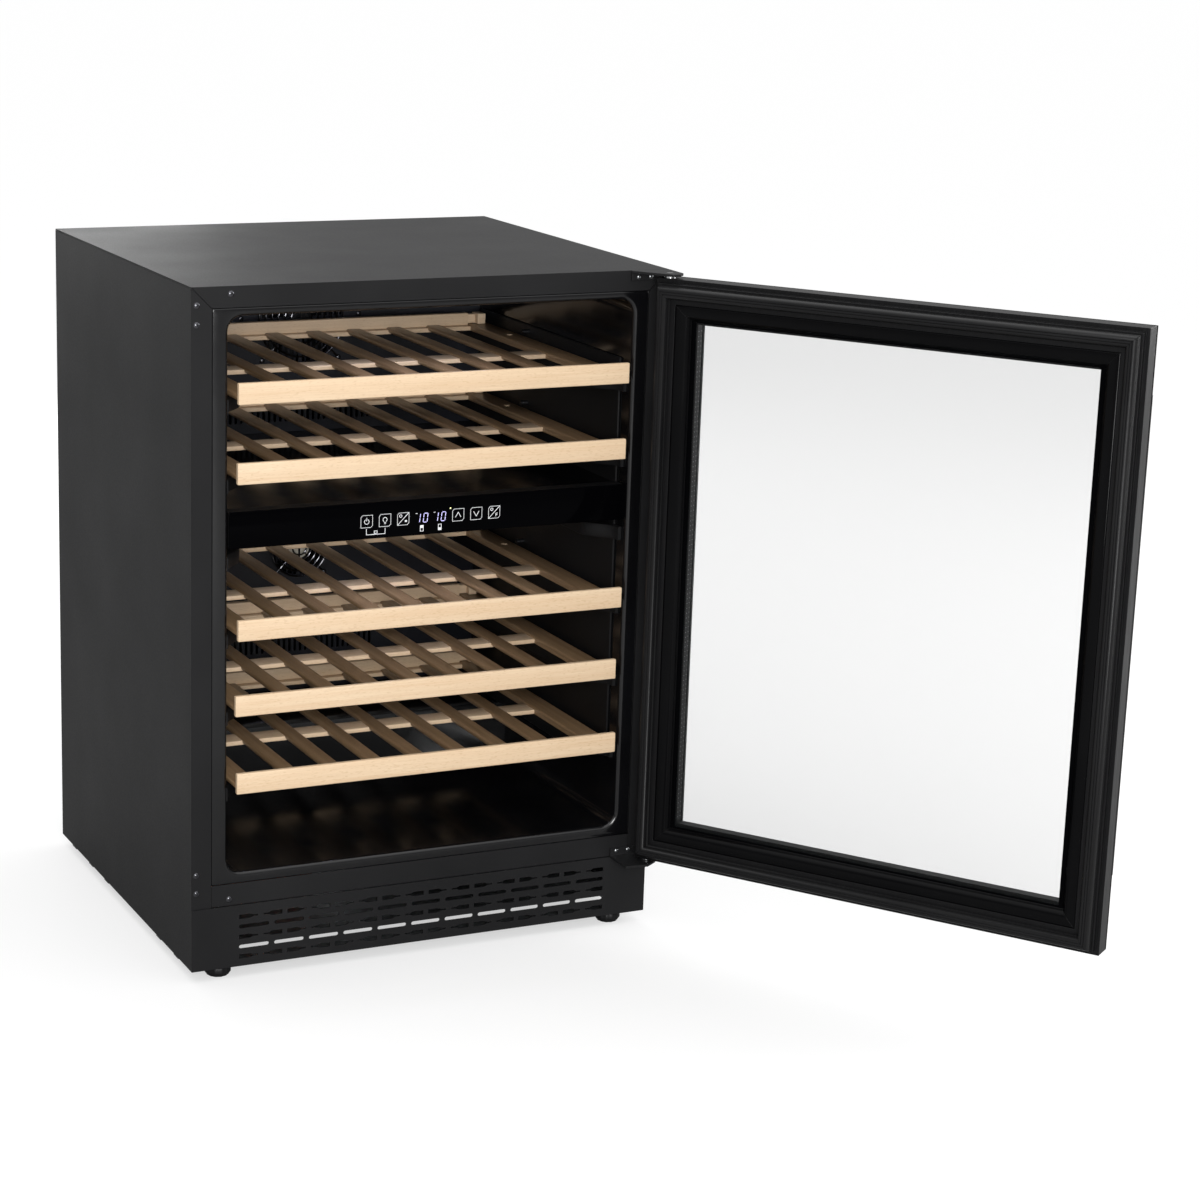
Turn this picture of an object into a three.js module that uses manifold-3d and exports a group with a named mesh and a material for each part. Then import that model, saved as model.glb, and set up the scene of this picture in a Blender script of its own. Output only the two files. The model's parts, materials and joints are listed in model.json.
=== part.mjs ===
// A 60 cm under-counter wine cooler with two temperature zones: steel cabinet, moulded liner,
// five beech shelves, two circulation fans, a compressor bay under the liner, and a double
// glazed door on two pins at the right. The door stands open at its rest angle.
// Millimetres, +Z up, the front faces -Y. Sizes are given with the cabinet's front at y = 0,
// its middle at x = 0 and the floor at z = 0; the last lines move the origin under the whole.
import * as THREE from "three";
import { mergeVertices } from "three/addons/utils/BufferGeometryUtils.js";
import Module from "manifold-3d";

// ---------------------------------------------------------------- driving dimensions
const GAP = 0.3; // clearance between pieces that touch
const CUT = 1; // how far a cutting tool runs past the face it cuts
const ROUND_END = 0.98; // corner radius of a round-ended slot, of half its width

// cabinet
const CABINET_WIDTH = 595;
const CABINET_HEIGHT = 820;
const CABINET_DEPTH = 529;
const SHEET = 1.5; // steel sheet of the cabinet
const FLOOR_CLEARANCE = 14.4; // floor to the cabinet's lower edge
const FLANGE = 24.5; // folded front edge of the side and top panels
const KICK_HEIGHT = 76.3; // ventilated panel under the door
const RAIL_HEIGHT = 26.4; // plain rail above the ventilated panel

// ventilated rear cover of the compressor bay
const BAY_COVER_HEIGHT = 200;
const BAY_SLOTS = 16;
const BAY_SLOT_PITCH = 26;
const BAY_SLOT_WIDTH = 9;
const BAY_SLOT_MARGIN = 35;

// liner
const SIDE_INSULATION = 40.5; // foam between the side sheet and the liner
const REAR_INSULATION = 59.5; // foam between the rear sheet and the liner's inside
const LINER_WALL = 2;
const LINER_LIP_HEIGHT = 13.3; // lip under the opening
const LINER_TOP_LIP = 9.5; // lip above the opening
const LINER_RADIUS = 18; // corner radius of the opening
const BAY_DEPTH = 203; // from the liner's step to the back of the cabinet
const STEP_HEIGHT = 81; // rise of the liner's floor over the compressor bay

// shelves
const LOWER_ZONE_SHARE = 0.5927; // of the opening's height, up to the control unit
const FIRST_SHELF_OVER_STEP = 17.6;
const FIRST_SHELF_OVER_PANEL = 33.2;
const EMPTY_LEDGE_UNDER_PANEL = 14;
const UPPER_SPACING_SHARE = 0.482; // of the height over the upper zone's first shelf
const SHELF_SIDE_CLEARANCE = 5.5;
const SHELF_BACK_CLEARANCE = 22;
const BOARD_HEIGHT = 24.7;
const BOARD_THICKNESS = 6.5;
const RACK_TOP = 11; // slat tops above the board's underside
const RACK_BOTTOM = 2.6;
const SIDE_RAIL_WIDTH = 28;
const SLAT_COUNT = 7;
const SLAT_WIDTH = 20;
const SLAT_SPACE = 35.6; // between two slats
const SLAT_THICKNESS = 6.5;
const SLAT_CHAMFER = 2.2;
const BAR_DROP = 2.5; // crossbar tops below the slat tops
const BAR_RISE = 0.4; // crossbar undersides above the rail undersides
const MID_BAR_AT = 172; // middle crossbar behind the board's face
const MID_BAR_DEPTH = 30;
const REAR_BAR_DEPTH = 19;
const STOP_THICKNESS = 11;
const STOP_HEIGHT = 15.8;
const STOP_BLOCK = 25; // width of the stop's end blocks, over the rails
const STOP_BLOCK_DROP = 1.5;
// how far each front board stands in front of the cabinet, lowest shelf first
const SHELF_PULL = [9.9, 4.2, 12.3, 8.8, 10.8];

// shelf supports
const LEDGE_WIDTH = 30.5; // from the support plate inwards
const LEDGE_HEIGHT = 16.3;
const LEDGE_FRONT = 3;
const LEDGE_BACK_CLEARANCE = 9;
const SUPPORT_PLATE = 2.7;
const STOP_PIN_FROM_SHELF_BACK = 137;
const STOP_PIN_RADIUS = 3;
const STOP_PIN_REACH = 13;
const STOP_PIN_LIFT = 3; // underside of the pin over the slats

// controls between the zones
const PANEL_HEIGHT = 43;
const PANEL_GLASS = 2;
const PANEL_FRONT = 2;
const PANEL_SIDE_GAP = 2;
const HOUSING_DEPTH = 22;
const HOUSING_INSET = 1;
const DIVIDER_THICKNESS = 38;
const DIVIDER_WALL = 2.5;
const LAMP = { length: 220, width: 12, height: 6, from_front: 60 };

// air ducts and fans
const DUCT_DEPTH = 29; // from the duct panel's face to the liner's rear wall
const DUCT_SHEET = 2.5;
const UPPER_FAN = { size: 120, boltSpacing: 105, hub: 19, blades: 7 };
const LOWER_FAN = { size: 80, boltSpacing: 71.5, hub: 14, blades: 7 };
const UPPER_FAN_UNDER_TOP = 78.7;
const LOWER_FAN_UNDER_PANEL = 114.2;
const FAN_OPENING_INSET = 3;
const FAN_BOSS_DEPTH = 4;
const FAN_BOSS_INSET = 2; // the motor boss is narrower than the rotor's hub
const FAN_STRUT = 5;
const FAN_DEPTH = 15;
const BLADE_CLEARANCE = 5;
const BLADE_THICKNESS = 1.6;
const BLADE_PITCH = 0.62; // radians
const BLADE_CHORD_SHARE = 0.19; // of the fan's size
const AXLE_RADIUS = 3;
const AXLE_PAST_HUB = 3;
const GUARD_WIRE = 2.4;
const GUARD_STANDOFF = 5;
const GUARD_FOOT_RADIUS = 4;
const GUARD_RINGS = [0.2, 0.44, 0.68, 0.92]; // of the fan's radius
const VENT_COUNT = 28;
const VENT_PITCH = 7.6;
const VENT_WIDTH = 3.8;
const VENT_LENGTH = 27;
const UPPER_VENT_OVER_PANEL = 24.5;
const LOWER_VENT_OVER_STEP = 64.5;
const EVAPORATOR = { half_width: 200, height: 34, gap: 8, plate: 1.5, channels: 3, bulge: 3 };

// door
const DOOR_TOP_GAP = 6.1; // cabinet top to the door's upper edge
const DOOR_BOTTOM_GAP = 4; // ventilated panel to the door's lower edge
const DOOR_STANDOFF = 12; // cabinet front to the door frame's rear face
const FRAME_DEPTH = 29;
const FRAME_WIDTH = 44;
const FRAME_STEP = 7; // depth of the recess around the frame's rear edge
const FRAME_STEP_INSET = 5;
const GLASS = 4;
const INNER_GLASS_AT = 10; // in front of the frame's rear face
const GLASS_SEAT = 13; // overlap of the inner pane on the frame
const TRIM_INSET = 29;
const TRIM_WIDTH = 18;
const TRIM_FACETS = 3;
const TRIM_SLOPE_SHARE = 0.8;
const SPACER_WIDTH = 7;
const SPACER_CLEARANCE = 1;
const GASKET_INSET = 7.5;
const GASKET_WIDTH = 15;
const GASKET_HEIGHT = 11.5;
const GASKET_BASE = 5;
const GASKET_TAPER = 2.5;
const DOOR_OPEN_DEG = 125.2; // opening at rest
const PIVOT_INSET = 12.74; // from the door's hinge edge
const PIVOT_DEPTH = 27.4; // in front of the cabinet
const PIN_RADIUS = 4;
const PIN_ENGAGEMENT = 17.6;

// handle
const HANDLE_LENGTH = 560;
const HANDLE_WIDTH = 14;
const HANDLE_DEPTH = 12;
const HANDLE_CHAMFER = 3;
const HANDLE_STANDOFF = 28; // door glass to the handle's front
const HANDLE_INSET = 7;
const HANDLE_POST = 12;
const HANDLE_POST_INSET = 60;
const HANDLE_POST_NARROWER = 2; // each side

// hinge brackets
const BRACKET_SHEET = 3;
const BRACKET_WIDTH = 50;
const BRACKET_REACH = 45;
const BRACKET_LEG = 12;
const BRACKET_UNDER_DOOR = 2;
const BRACKET_NOSE = 5; // plate past the pivot
const BRACKET_CORNER = 8;

// base and feet
const BASE_SHEET = 2;
const BASE_FRONT_BAR = 40;
const BASE_WINDOW = 28; // air opening behind the front bar
const BASE_WINDOW_SIDE = 27;
const FOOT_RADIUS = 16;
const FOOT_HEIGHT = 12;
const FOOT_COLLAR_RADIUS = 9.6;
const FOOT_STEM_RADIUS = 5;
const FOOT_STEM_TOP = 40;
const FOOT_FROM_SIDE = 39.5;
const FOOT_FROM_FRONT = 20;
const FOOT_FROM_BACK = 39;

// slot pattern of the ventilated panel
const GRILLE_MARGIN = 58.5;
const GRILLE_ROWS = [76, 63.8, 51, 38.5, 26.4]; // heights above the floor
const LONG_SLOTS = 11;
const SLOT_GAP = 6.4;
const LONG_SLOT_HEIGHT = 4.7;
const BOTTLE_PAIRS = 8;
const BOTTLE_LENGTH = 23.5;
const BOTTLE_BODY = 13.5;
const BOTTLE_SHOULDER = 4;
const BOTTLE_HEIGHT = 5.3;
const BOTTLE_NECK = 1.8;

// compressor bay, measured from the cabinet's back and from the liner's step
const COMPRESSOR_X = 110;
const COMPRESSOR_FROM_BACK = 104;
const COMPRESSOR_PROFILE = [
  [0, 0],
  [62, 0],
  [66, 8],
  [66, 76],
  [60, 100],
  [44, 118],
  [20, 126],
  [0, 128],
];
const COMPRESSOR_FOOT = { half_width: 90, half_depth: 40, height: 14, overlap: 2 };
const CONDENSER_X = -150;
const CONDENSER_FROM_STEP = 126;
const CONDENSER = { width: 160, depth: 90, height: 92, fins: 12, fin: 1.2, rows: 3, tube: 3.5 };
const BAY_FAN = { size: 84, boltSpacing: 76, hub: 14, blades: 5 };
const BAY_FAN_RIM = 3;
const BAY_FAN_FRAME = 6;
const BAY_FAN_BEHIND_STEP = 9;
const INLET = { from_side: 52.5, z: 60, width: 48, height: 32, depth: 29 };
const INLET_SOCKET = { width: 28, height: 18, depth: 16 };

// ---------------------------------------------------------------- derived places
const HALF = CABINET_WIDTH / 2;
const OPENING_HALF = HALF - SHEET - SIDE_INSULATION - LINER_WALL;
const LIP_HALF = HALF - FLANGE - GAP;
const KICK_TOP = FLOOR_CLEARANCE + KICK_HEIGHT;
const RAIL_BOTTOM = KICK_TOP + GAP;
const RAIL_TOP = RAIL_BOTTOM + RAIL_HEIGHT;
const LIP_BOTTOM = RAIL_TOP + GAP;
const LIP_TOP = CABINET_HEIGHT - FLANGE - GAP;
const OPENING_BOTTOM = LIP_BOTTOM + LINER_LIP_HEIGHT;
const OPENING_TOP = LIP_TOP - LINER_TOP_LIP;
const BACK = CABINET_DEPTH - SHEET;
const LINER_DEPTH = BACK - REAR_INSULATION;
const STEP_FRONT = CABINET_DEPTH - BAY_DEPTH;
const STEP_TOP = OPENING_BOTTOM + STEP_HEIGHT;
const DUCT_AT = LINER_DEPTH - DUCT_DEPTH;
const BASE_TOP = FLOOR_CLEARANCE + BASE_SHEET;
const BAY_FLOOR = BASE_TOP + GAP;
const INLET_X = INLET.from_side - CABINET_WIDTH / 2;

const PANEL_BOTTOM = OPENING_BOTTOM + LOWER_ZONE_SHARE * (OPENING_TOP - OPENING_BOTTOM);
const PANEL_TOP = PANEL_BOTTOM + PANEL_HEIGHT;
const DIVIDER_BOTTOM = PANEL_BOTTOM + (PANEL_HEIGHT - DIVIDER_THICKNESS) / 2;
const DIVIDER_TOP = DIVIDER_BOTTOM + DIVIDER_THICKNESS;
const HOUSING_FRONT = PANEL_FRONT + PANEL_GLASS + GAP;
const HOUSING_BACK = HOUSING_FRONT + HOUSING_DEPTH;
const DIVIDER_FRONT = HOUSING_BACK + GAP;
const UPPER_FAN_Z = OPENING_TOP - UPPER_FAN_UNDER_TOP;
const LOWER_FAN_Z = PANEL_BOTTOM - LOWER_FAN_UNDER_PANEL;
const UPPER_VENT_Z = PANEL_TOP + UPPER_VENT_OVER_PANEL;
const LOWER_VENT_Z = STEP_TOP + LOWER_VENT_OVER_STEP;

const PLATE_OUTER = OPENING_HALF - GAP;
const PLATE_INNER = PLATE_OUTER - SUPPORT_PLATE;
const PLATE_FRONT = DIVIDER_FRONT + GAP;
const LEDGE_BACK = DUCT_AT - LEDGE_BACK_CLEARANCE;
const SHELF_HALF = PLATE_INNER - SHELF_SIDE_CLEARANCE;
const SHELF_REACH = DUCT_AT - SHELF_BACK_CLEARANCE;
const STOP_PIN_AT = SHELF_REACH - STOP_PIN_FROM_SHELF_BACK;
const LOWER_FIRST = STEP_TOP + FIRST_SHELF_OVER_STEP;
const EMPTY_LEDGE = PANEL_BOTTOM - EMPTY_LEDGE_UNDER_PANEL;
const LOWER_SPACING = (EMPTY_LEDGE - LOWER_FIRST) / 3;
const UPPER_FIRST = PANEL_TOP + FIRST_SHELF_OVER_PANEL;
const UPPER_SPACING = UPPER_SPACING_SHARE * (OPENING_TOP - UPPER_FIRST);
// undersides of the front boards, lowest first
const SHELF_BOTTOMS = [
  LOWER_FIRST,
  LOWER_FIRST + LOWER_SPACING,
  LOWER_FIRST + 2 * LOWER_SPACING,
  UPPER_FIRST,
  UPPER_FIRST + UPPER_SPACING,
];
// the lower zone has one more pair of ledges over its top shelf, left empty
const LEDGE_LEVELS = [...SHELF_BOTTOMS, EMPTY_LEDGE];

const DOOR_BOTTOM = KICK_TOP + DOOR_BOTTOM_GAP;
const DOOR_TOP = CABINET_HEIGHT - DOOR_TOP_GAP;
const PIVOT_X = HALF - PIVOT_INSET;
const PIVOT_Y = -PIVOT_DEPTH;
const TOP_PLATE = CABINET_HEIGHT - BRACKET_SHEET;
const BOTTOM_PLATE = DOOR_BOTTOM - BRACKET_UNDER_DOOR - BRACKET_SHEET;

const FOOT_X = HALF - FOOT_FROM_SIDE;
const FOOT_YS = { front: FOOT_FROM_FRONT, rear: CABINET_DEPTH - FOOT_FROM_BACK };
const COMPRESSOR_Y = CABINET_DEPTH - COMPRESSOR_FROM_BACK;
const CONDENSER_Y = STEP_FRONT - CONDENSER_FROM_STEP;
const BAY_FAN_Y = STEP_FRONT + BAY_FAN_BEHIND_STEP;
const BAY_FAN_HALF = BAY_FAN.size / 2 + BAY_FAN_RIM;
const BAY_FAN_Z = BAY_FLOOR + BAY_FAN_HALF;

// ---------------------------------------------------------------- materials
function finish(color, roughness, metalness, opacity = 1) {
  const transparent = opacity < 1;
  return new THREE.MeshStandardMaterial({ color, roughness, metalness, opacity, transparent });
}

const PAINTED_STEEL = finish("#2b2b2c", 0.55, 0.2);
const GALVANISED = finish("#8f9496", 0.45, 0.8);
const LINER_PLASTIC = finish("#121214", 0.25, 0);
const MATTE_PLASTIC = finish("#1b1b1c", 0.6, 0);
const DUCT_PLASTIC = finish("#1d1d20", 0.65, 0);
const BEECH = finish("#e8cda6", 0.6, 0);
const BLACK_ALUMINIUM = finish("#29292a", 0.4, 0.6);
const BLACK_GLASS = finish("#050506", 0.08, 0);
const CLEAR_GLASS = finish("#dfe6e6", 0.05, 0, 0.3);
const GASKET_VINYL = finish("#202021", 0.7, 0);
const CHROME = finish("#d0d2d4", 0.15, 1);
const COPPER = finish("#b46a3c", 0.35, 0.9);
const BARE_ALUMINIUM = finish("#b9bcbe", 0.35, 0.9);
const LAMP_LENS = finish("#eef2f4", 0.4, 0, 0.8);
const BLACK_IRON = finish("#151516", 0.5, 0.3);

// ---------------------------------------------------------------- solids
const wasm = await Module();
wasm.setup();

function solid(geometry) {
  const bare = geometry.index ? geometry.toNonIndexed() : geometry.clone();
  bare.deleteAttribute("normal");
  bare.deleteAttribute("uv");
  const merged = mergeVertices(bare, 1e-3);
  return new wasm.Manifold(
    new wasm.Mesh({
      numProp: 3,
      vertProperties: merged.attributes.position.array,
      triVerts: new Uint32Array(merged.index.array),
    }),
  );
}

function box(x0, x1, y0, y1, z0, z1) {
  const shape = new THREE.BoxGeometry(x1 - x0, y1 - y0, z1 - z0);
  shape.translate((x0 + x1) / 2, (y0 + y1) / 2, (z0 + z1) / 2);
  return solid(shape);
}

function union(pieces) {
  return pieces.reduce((sum, piece) => sum.add(piece));
}

function outline(points) {
  return new THREE.Shape(points.map(([a, b]) => new THREE.Vector2(a, b)));
}

function roundedRectangle(a0, a1, b0, b1, radius, steps = 4) {
  const corners = [
    [a1 - radius, b0 + radius, -Math.PI / 2],
    [a1 - radius, b1 - radius, 0],
    [a0 + radius, b1 - radius, Math.PI / 2],
    [a0 + radius, b0 + radius, Math.PI],
  ];
  const points = [];
  for (const [a, b, start] of corners) {
    for (let i = 0; i <= steps; i++) {
      const angle = start + (i / steps) * (Math.PI / 2);
      points.push([a + radius * Math.cos(angle), b + radius * Math.sin(angle)]);
    }
  }
  return outline(points);
}

// an outline in x and z, carried along y
function acrossY(shape, y0, y1) {
  const geometry = new THREE.ExtrudeGeometry(shape, { depth: y1 - y0, bevelEnabled: false });
  geometry.rotateX(Math.PI / 2);
  geometry.translate(0, y1, 0);
  return solid(geometry);
}

// an outline in x and y, carried up z
function alongZ(shape, z0, z1) {
  const geometry = new THREE.ExtrudeGeometry(shape, { depth: z1 - z0, bevelEnabled: false });
  geometry.translate(0, 0, z0);
  return solid(geometry);
}

function cylinderZ(x, y, radius, z0, z1, sides = 20) {
  const shape = new THREE.CylinderGeometry(radius, radius, z1 - z0, sides);
  shape.rotateX(Math.PI / 2);
  shape.translate(x, y, (z0 + z1) / 2);
  return solid(shape);
}

function cylinderY(x, z, radius, y0, y1, sides = 24) {
  const shape = new THREE.CylinderGeometry(radius, radius, y1 - y0, sides);
  shape.translate(x, (y0 + y1) / 2, z);
  return solid(shape);
}

function cylinderX(y, z, radius, x0, x1, sides = 12) {
  const shape = new THREE.CylinderGeometry(radius, radius, x1 - x0, sides);
  shape.rotateZ(Math.PI / 2);
  shape.translate((x0 + x1) / 2, y, z);
  return solid(shape);
}

// one ring of a wire guard, of square section, about the y direction
function hoop(x, z, radius, y0, sides = 24) {
  const half = GUARD_WIRE / 2;
  const profile = [
    [radius - half, 0],
    [radius + half, 0],
    [radius + half, GUARD_WIRE],
    [radius - half, GUARD_WIRE],
    [radius - half, 0],
  ].map(([r, h]) => new THREE.Vector2(r, h));
  const shape = new THREE.LatheGeometry(profile, sides);
  shape.translate(x, y0, z);
  return solid(shape);
}

function meshFrom(name, manifold, material) {
  const { vertProperties, triVerts, numProp } = manifold.getMesh();
  const count = vertProperties.length / numProp;
  const positions = new Float32Array(count * 3);
  for (let i = 0; i < count; i++) {
    positions.set(vertProperties.subarray(i * numProp, i * numProp + 3), i * 3);
  }
  const geometry = new THREE.BufferGeometry();
  geometry.setAttribute("position", new THREE.BufferAttribute(positions, 3));
  geometry.setIndex(new THREE.BufferAttribute(new Uint32Array(triVerts), 1));
  geometry.computeVertexNormals();
  const mesh = new THREE.Mesh(geometry, material.clone());
  mesh.name = name;
  return mesh;
}

const cooler = new THREE.Group();

function place(name, manifold, material, parent = cooler) {
  parent.add(meshFrom(name, manifold, material));
}

// ---------------------------------------------------------------- cabinet sheets
function sidePanel(side) {
  const edge = side * HALF;
  const inner = side * (HALF - SHEET);
  const flangeEdge = side * (HALF - FLANGE);
  const [x0, x1] = [Math.min(edge, inner), Math.max(edge, inner)];
  const top = CABINET_HEIGHT - SHEET - GAP;
  const sheet = box(x0, x1, 0, CABINET_DEPTH, FLOOR_CLEARANCE, top);
  const mitre = [
    [edge, FLOOR_CLEARANCE],
    [flangeEdge, FLOOR_CLEARANCE],
    [flangeEdge, CABINET_HEIGHT - FLANGE - 2 * GAP],
    [edge, CABINET_HEIGHT - 2 * GAP],
  ];
  const flange = acrossY(outline(side < 0 ? mitre : mitre.reverse()), 0, SHEET);
  const belowTop = box(x0 - FLANGE, x1 + FLANGE, -CUT, SHEET + CUT, top, CABINET_HEIGHT);
  return sheet.add(flange.subtract(belowTop));
}

function topPanel() {
  const sheet = box(-HALF, HALF, 0, CABINET_DEPTH, CABINET_HEIGHT - SHEET, CABINET_HEIGHT);
  const low = CABINET_HEIGHT - FLANGE;
  const flange = outline([
    [-HALF, CABINET_HEIGHT],
    [-HALF + FLANGE, low],
    [HALF - FLANGE, low],
    [HALF, CABINET_HEIGHT],
  ]);
  return sheet.add(acrossY(flange, 0, SHEET));
}

function backPanel() {
  const inset = HALF - SHEET - GAP;
  const low = FLOOR_CLEARANCE + BAY_COVER_HEIGHT + GAP;
  return box(-inset, inset, BACK, CABINET_DEPTH, low, CABINET_HEIGHT - SHEET - GAP);
}

function bayCover() {
  const inset = HALF - SHEET - GAP;
  const high = FLOOR_CLEARANCE + BAY_COVER_HEIGHT;
  let cover = box(-inset, inset, BACK, CABINET_DEPTH, BAY_FLOOR, high);
  for (let i = 0; i < BAY_SLOTS; i++) {
    const x = (i - (BAY_SLOTS - 1) / 2) * BAY_SLOT_PITCH;
    const half = BAY_SLOT_WIDTH / 2;
    const low = BAY_FLOOR + BAY_SLOT_MARGIN;
    cover = cover.subtract(
      box(x - half, x + half, BACK - CUT, CABINET_DEPTH + CUT, low, high - BAY_SLOT_MARGIN),
    );
  }
  return cover.subtract(inletBlock(GAP, CABINET_DEPTH + CUT));
}

function baseFrame() {
  const inset = HALF - SHEET - GAP;
  const window = inset - BASE_WINDOW_SIDE;
  const windowBack = BASE_FRONT_BAR + BASE_WINDOW;
  let base = box(-inset, inset, SHEET + GAP, BACK - GAP, FLOOR_CLEARANCE, BASE_TOP);
  base = base.subtract(box(-window, window, BASE_FRONT_BAR, windowBack, 0, BASE_TOP + CUT));
  for (const x of [-FOOT_X, FOOT_X]) {
    for (const y of Object.values(FOOT_YS)) {
      base = base.subtract(cylinderZ(x, y, FOOT_STEM_RADIUS + GAP, 0, BASE_TOP + CUT));
    }
  }
  return base;
}

// ---------------------------------------------------------------- front rail and grille
function longSlot(x0, x1, z) {
  const half = LONG_SLOT_HEIGHT / 2;
  return roundedRectangle(x0, x1, z - half, z + half, half * ROUND_END, 2);
}

// a lying bottle with its neck towards +x or -x
function bottleSlot(base, z, towards) {
  const body = BOTTLE_HEIGHT / 2;
  const neck = BOTTLE_NECK / 2;
  const along = (d) => base + towards * d;
  const points = [
    [along(0), z - body],
    [along(BOTTLE_BODY), z - body],
    [along(BOTTLE_BODY + BOTTLE_SHOULDER), z - neck],
    [along(BOTTLE_LENGTH), z - neck],
    [along(BOTTLE_LENGTH), z + neck],
    [along(BOTTLE_BODY + BOTTLE_SHOULDER), z + neck],
    [along(BOTTLE_BODY), z + body],
    [along(0), z + body],
  ];
  return outline(towards > 0 ? points : points.reverse());
}

function kickGrille() {
  const y0 = -SHEET - GAP;
  const y1 = -GAP;
  const half = HALF - GRILLE_MARGIN;
  const longPitch = (2 * half + SLOT_GAP) / LONG_SLOTS;
  const pairPitch = (2 * half + SLOT_GAP) / BOTTLE_PAIRS;
  const slots = [];
  GRILLE_ROWS.forEach((z, row) => {
    if (row % 2 === 1) {
      for (let i = 0; i < LONG_SLOTS; i++) {
        const left = -half + i * longPitch;
        slots.push(longSlot(left, left + longPitch - SLOT_GAP, z));
      }
    } else {
      for (let i = 0; i < BOTTLE_PAIRS; i++) {
        const left = -half + i * pairPitch;
        const right = left + pairPitch - SLOT_GAP;
        slots.push(bottleSlot(left, z, 1), bottleSlot(right, z, -1));
      }
    }
  });
  const notchLeft = HALF - BRACKET_WIDTH - GAP;
  const notchLow = BOTTOM_PLATE - 2 * GAP;
  const notch = box(notchLeft, HALF + CUT, y0 - CUT, y1 + CUT, notchLow, KICK_TOP + CUT);
  return box(-HALF, HALF, y0, y1, FLOOR_CLEARANCE, KICK_TOP)
    .subtract(union(slots.map((slot) => acrossY(slot, y0 - CUT, y1 + CUT))))
    .subtract(notch);
}

function lowerRail() {
  return box(-LIP_HALF, LIP_HALF, 0, SHEET, RAIL_BOTTOM, RAIL_TOP);
}

// ---------------------------------------------------------------- liner
// the box that the liner's inside fills, grown by the wall where grow is that much
function linerBody(grow, front) {
  const opening = roundedRectangle(
    -OPENING_HALF - grow,
    OPENING_HALF + grow,
    OPENING_BOTTOM - grow,
    OPENING_TOP + grow,
    LINER_RADIUS + grow,
  );
  const full = acrossY(opening, front, LINER_DEPTH + grow);
  const stepWidth = OPENING_HALF + grow + CUT;
  const step = box(
    -stepWidth,
    stepWidth,
    STEP_FRONT + grow,
    LINER_DEPTH + grow + CUT,
    OPENING_BOTTOM - grow - CUT,
    STEP_TOP - grow,
  );
  return full.subtract(step);
}

function liner() {
  const lip = box(-LIP_HALF, LIP_HALF, 0, LINER_WALL, LIP_BOTTOM, LIP_TOP);
  return linerBody(LINER_WALL, 0).add(lip).subtract(linerBody(0, -CUT));
}

// ---------------------------------------------------------------- shelf supports
function shelfSupport(side) {
  const across = (inner, outer) => (side < 0 ? [-outer, -inner] : [inner, outer]);
  const ledgeTop = (level) => level + RACK_BOTTOM - GAP;
  const low = ledgeTop(LEDGE_LEVELS[0]) - LEDGE_HEIGHT;
  const high = SHELF_BOTTOMS.at(-1) + BOARD_HEIGHT;
  const [plate0, plate1] = across(PLATE_INNER, PLATE_OUTER);
  let support = box(plate0, plate1, PLATE_FRONT, LEDGE_BACK, low, high);
  const [ledge0, ledge1] = across(PLATE_INNER - LEDGE_WIDTH, PLATE_OUTER);
  for (const level of LEDGE_LEVELS) {
    const top = ledgeTop(level);
    support = support.add(
      box(ledge0, ledge1, LEDGE_FRONT, LEDGE_BACK, top - LEDGE_HEIGHT, top),
    );
  }
  const [pin0, pin1] = across(PLATE_OUTER - STOP_PIN_REACH, PLATE_OUTER - GAP);
  for (const level of SHELF_BOTTOMS) {
    const z = level + RACK_TOP + STOP_PIN_LIFT + STOP_PIN_RADIUS;
    support = support.add(cylinderX(STOP_PIN_AT, z, STOP_PIN_RADIUS, pin0, pin1));
  }
  return support;
}

// ---------------------------------------------------------------- shelves
function frontBoard() {
  return box(-SHELF_HALF, SHELF_HALF, 0, BOARD_THICKNESS, 0, BOARD_HEIGHT);
}

// a slat lying along y, with its upper edges eased
function slat(x, y0, y1) {
  const half = SLAT_WIDTH / 2;
  const low = RACK_TOP - SLAT_THICKNESS;
  const section = outline([
    [x - half, low],
    [x + half, low],
    [x + half, RACK_TOP - SLAT_CHAMFER],
    [x + half - SLAT_CHAMFER, RACK_TOP],
    [x - half + SLAT_CHAMFER, RACK_TOP],
    [x - half, RACK_TOP - SLAT_CHAMFER],
  ]);
  return acrossY(section, y0, y1);
}

function slatRack() {
  const front = BOARD_THICKNESS + GAP;
  const slatEnd = SHELF_REACH - STOP_THICKNESS - GAP;
  const railInner = SHELF_HALF - SIDE_RAIL_WIDTH;
  const rails = [
    box(-SHELF_HALF, -railInner, front, SHELF_REACH, RACK_BOTTOM, RACK_TOP),
    box(railInner, SHELF_HALF, front, SHELF_REACH, RACK_BOTTOM, RACK_TOP),
  ];
  const barLow = RACK_BOTTOM + BAR_RISE;
  const barTop = RACK_TOP - BAR_DROP;
  const bars = [
    box(-railInner - CUT, railInner + CUT, MID_BAR_AT, MID_BAR_AT + MID_BAR_DEPTH, barLow, barTop),
    box(-railInner - CUT, railInner + CUT, SHELF_REACH - REAR_BAR_DEPTH, SHELF_REACH, barLow, barTop),
  ];
  const slats = [];
  for (let i = 0; i < SLAT_COUNT; i++) {
    slats.push(slat((i - (SLAT_COUNT - 1) / 2) * (SLAT_WIDTH + SLAT_SPACE), front, slatEnd));
  }
  return union([...rails, ...bars, ...slats]);
}

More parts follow.
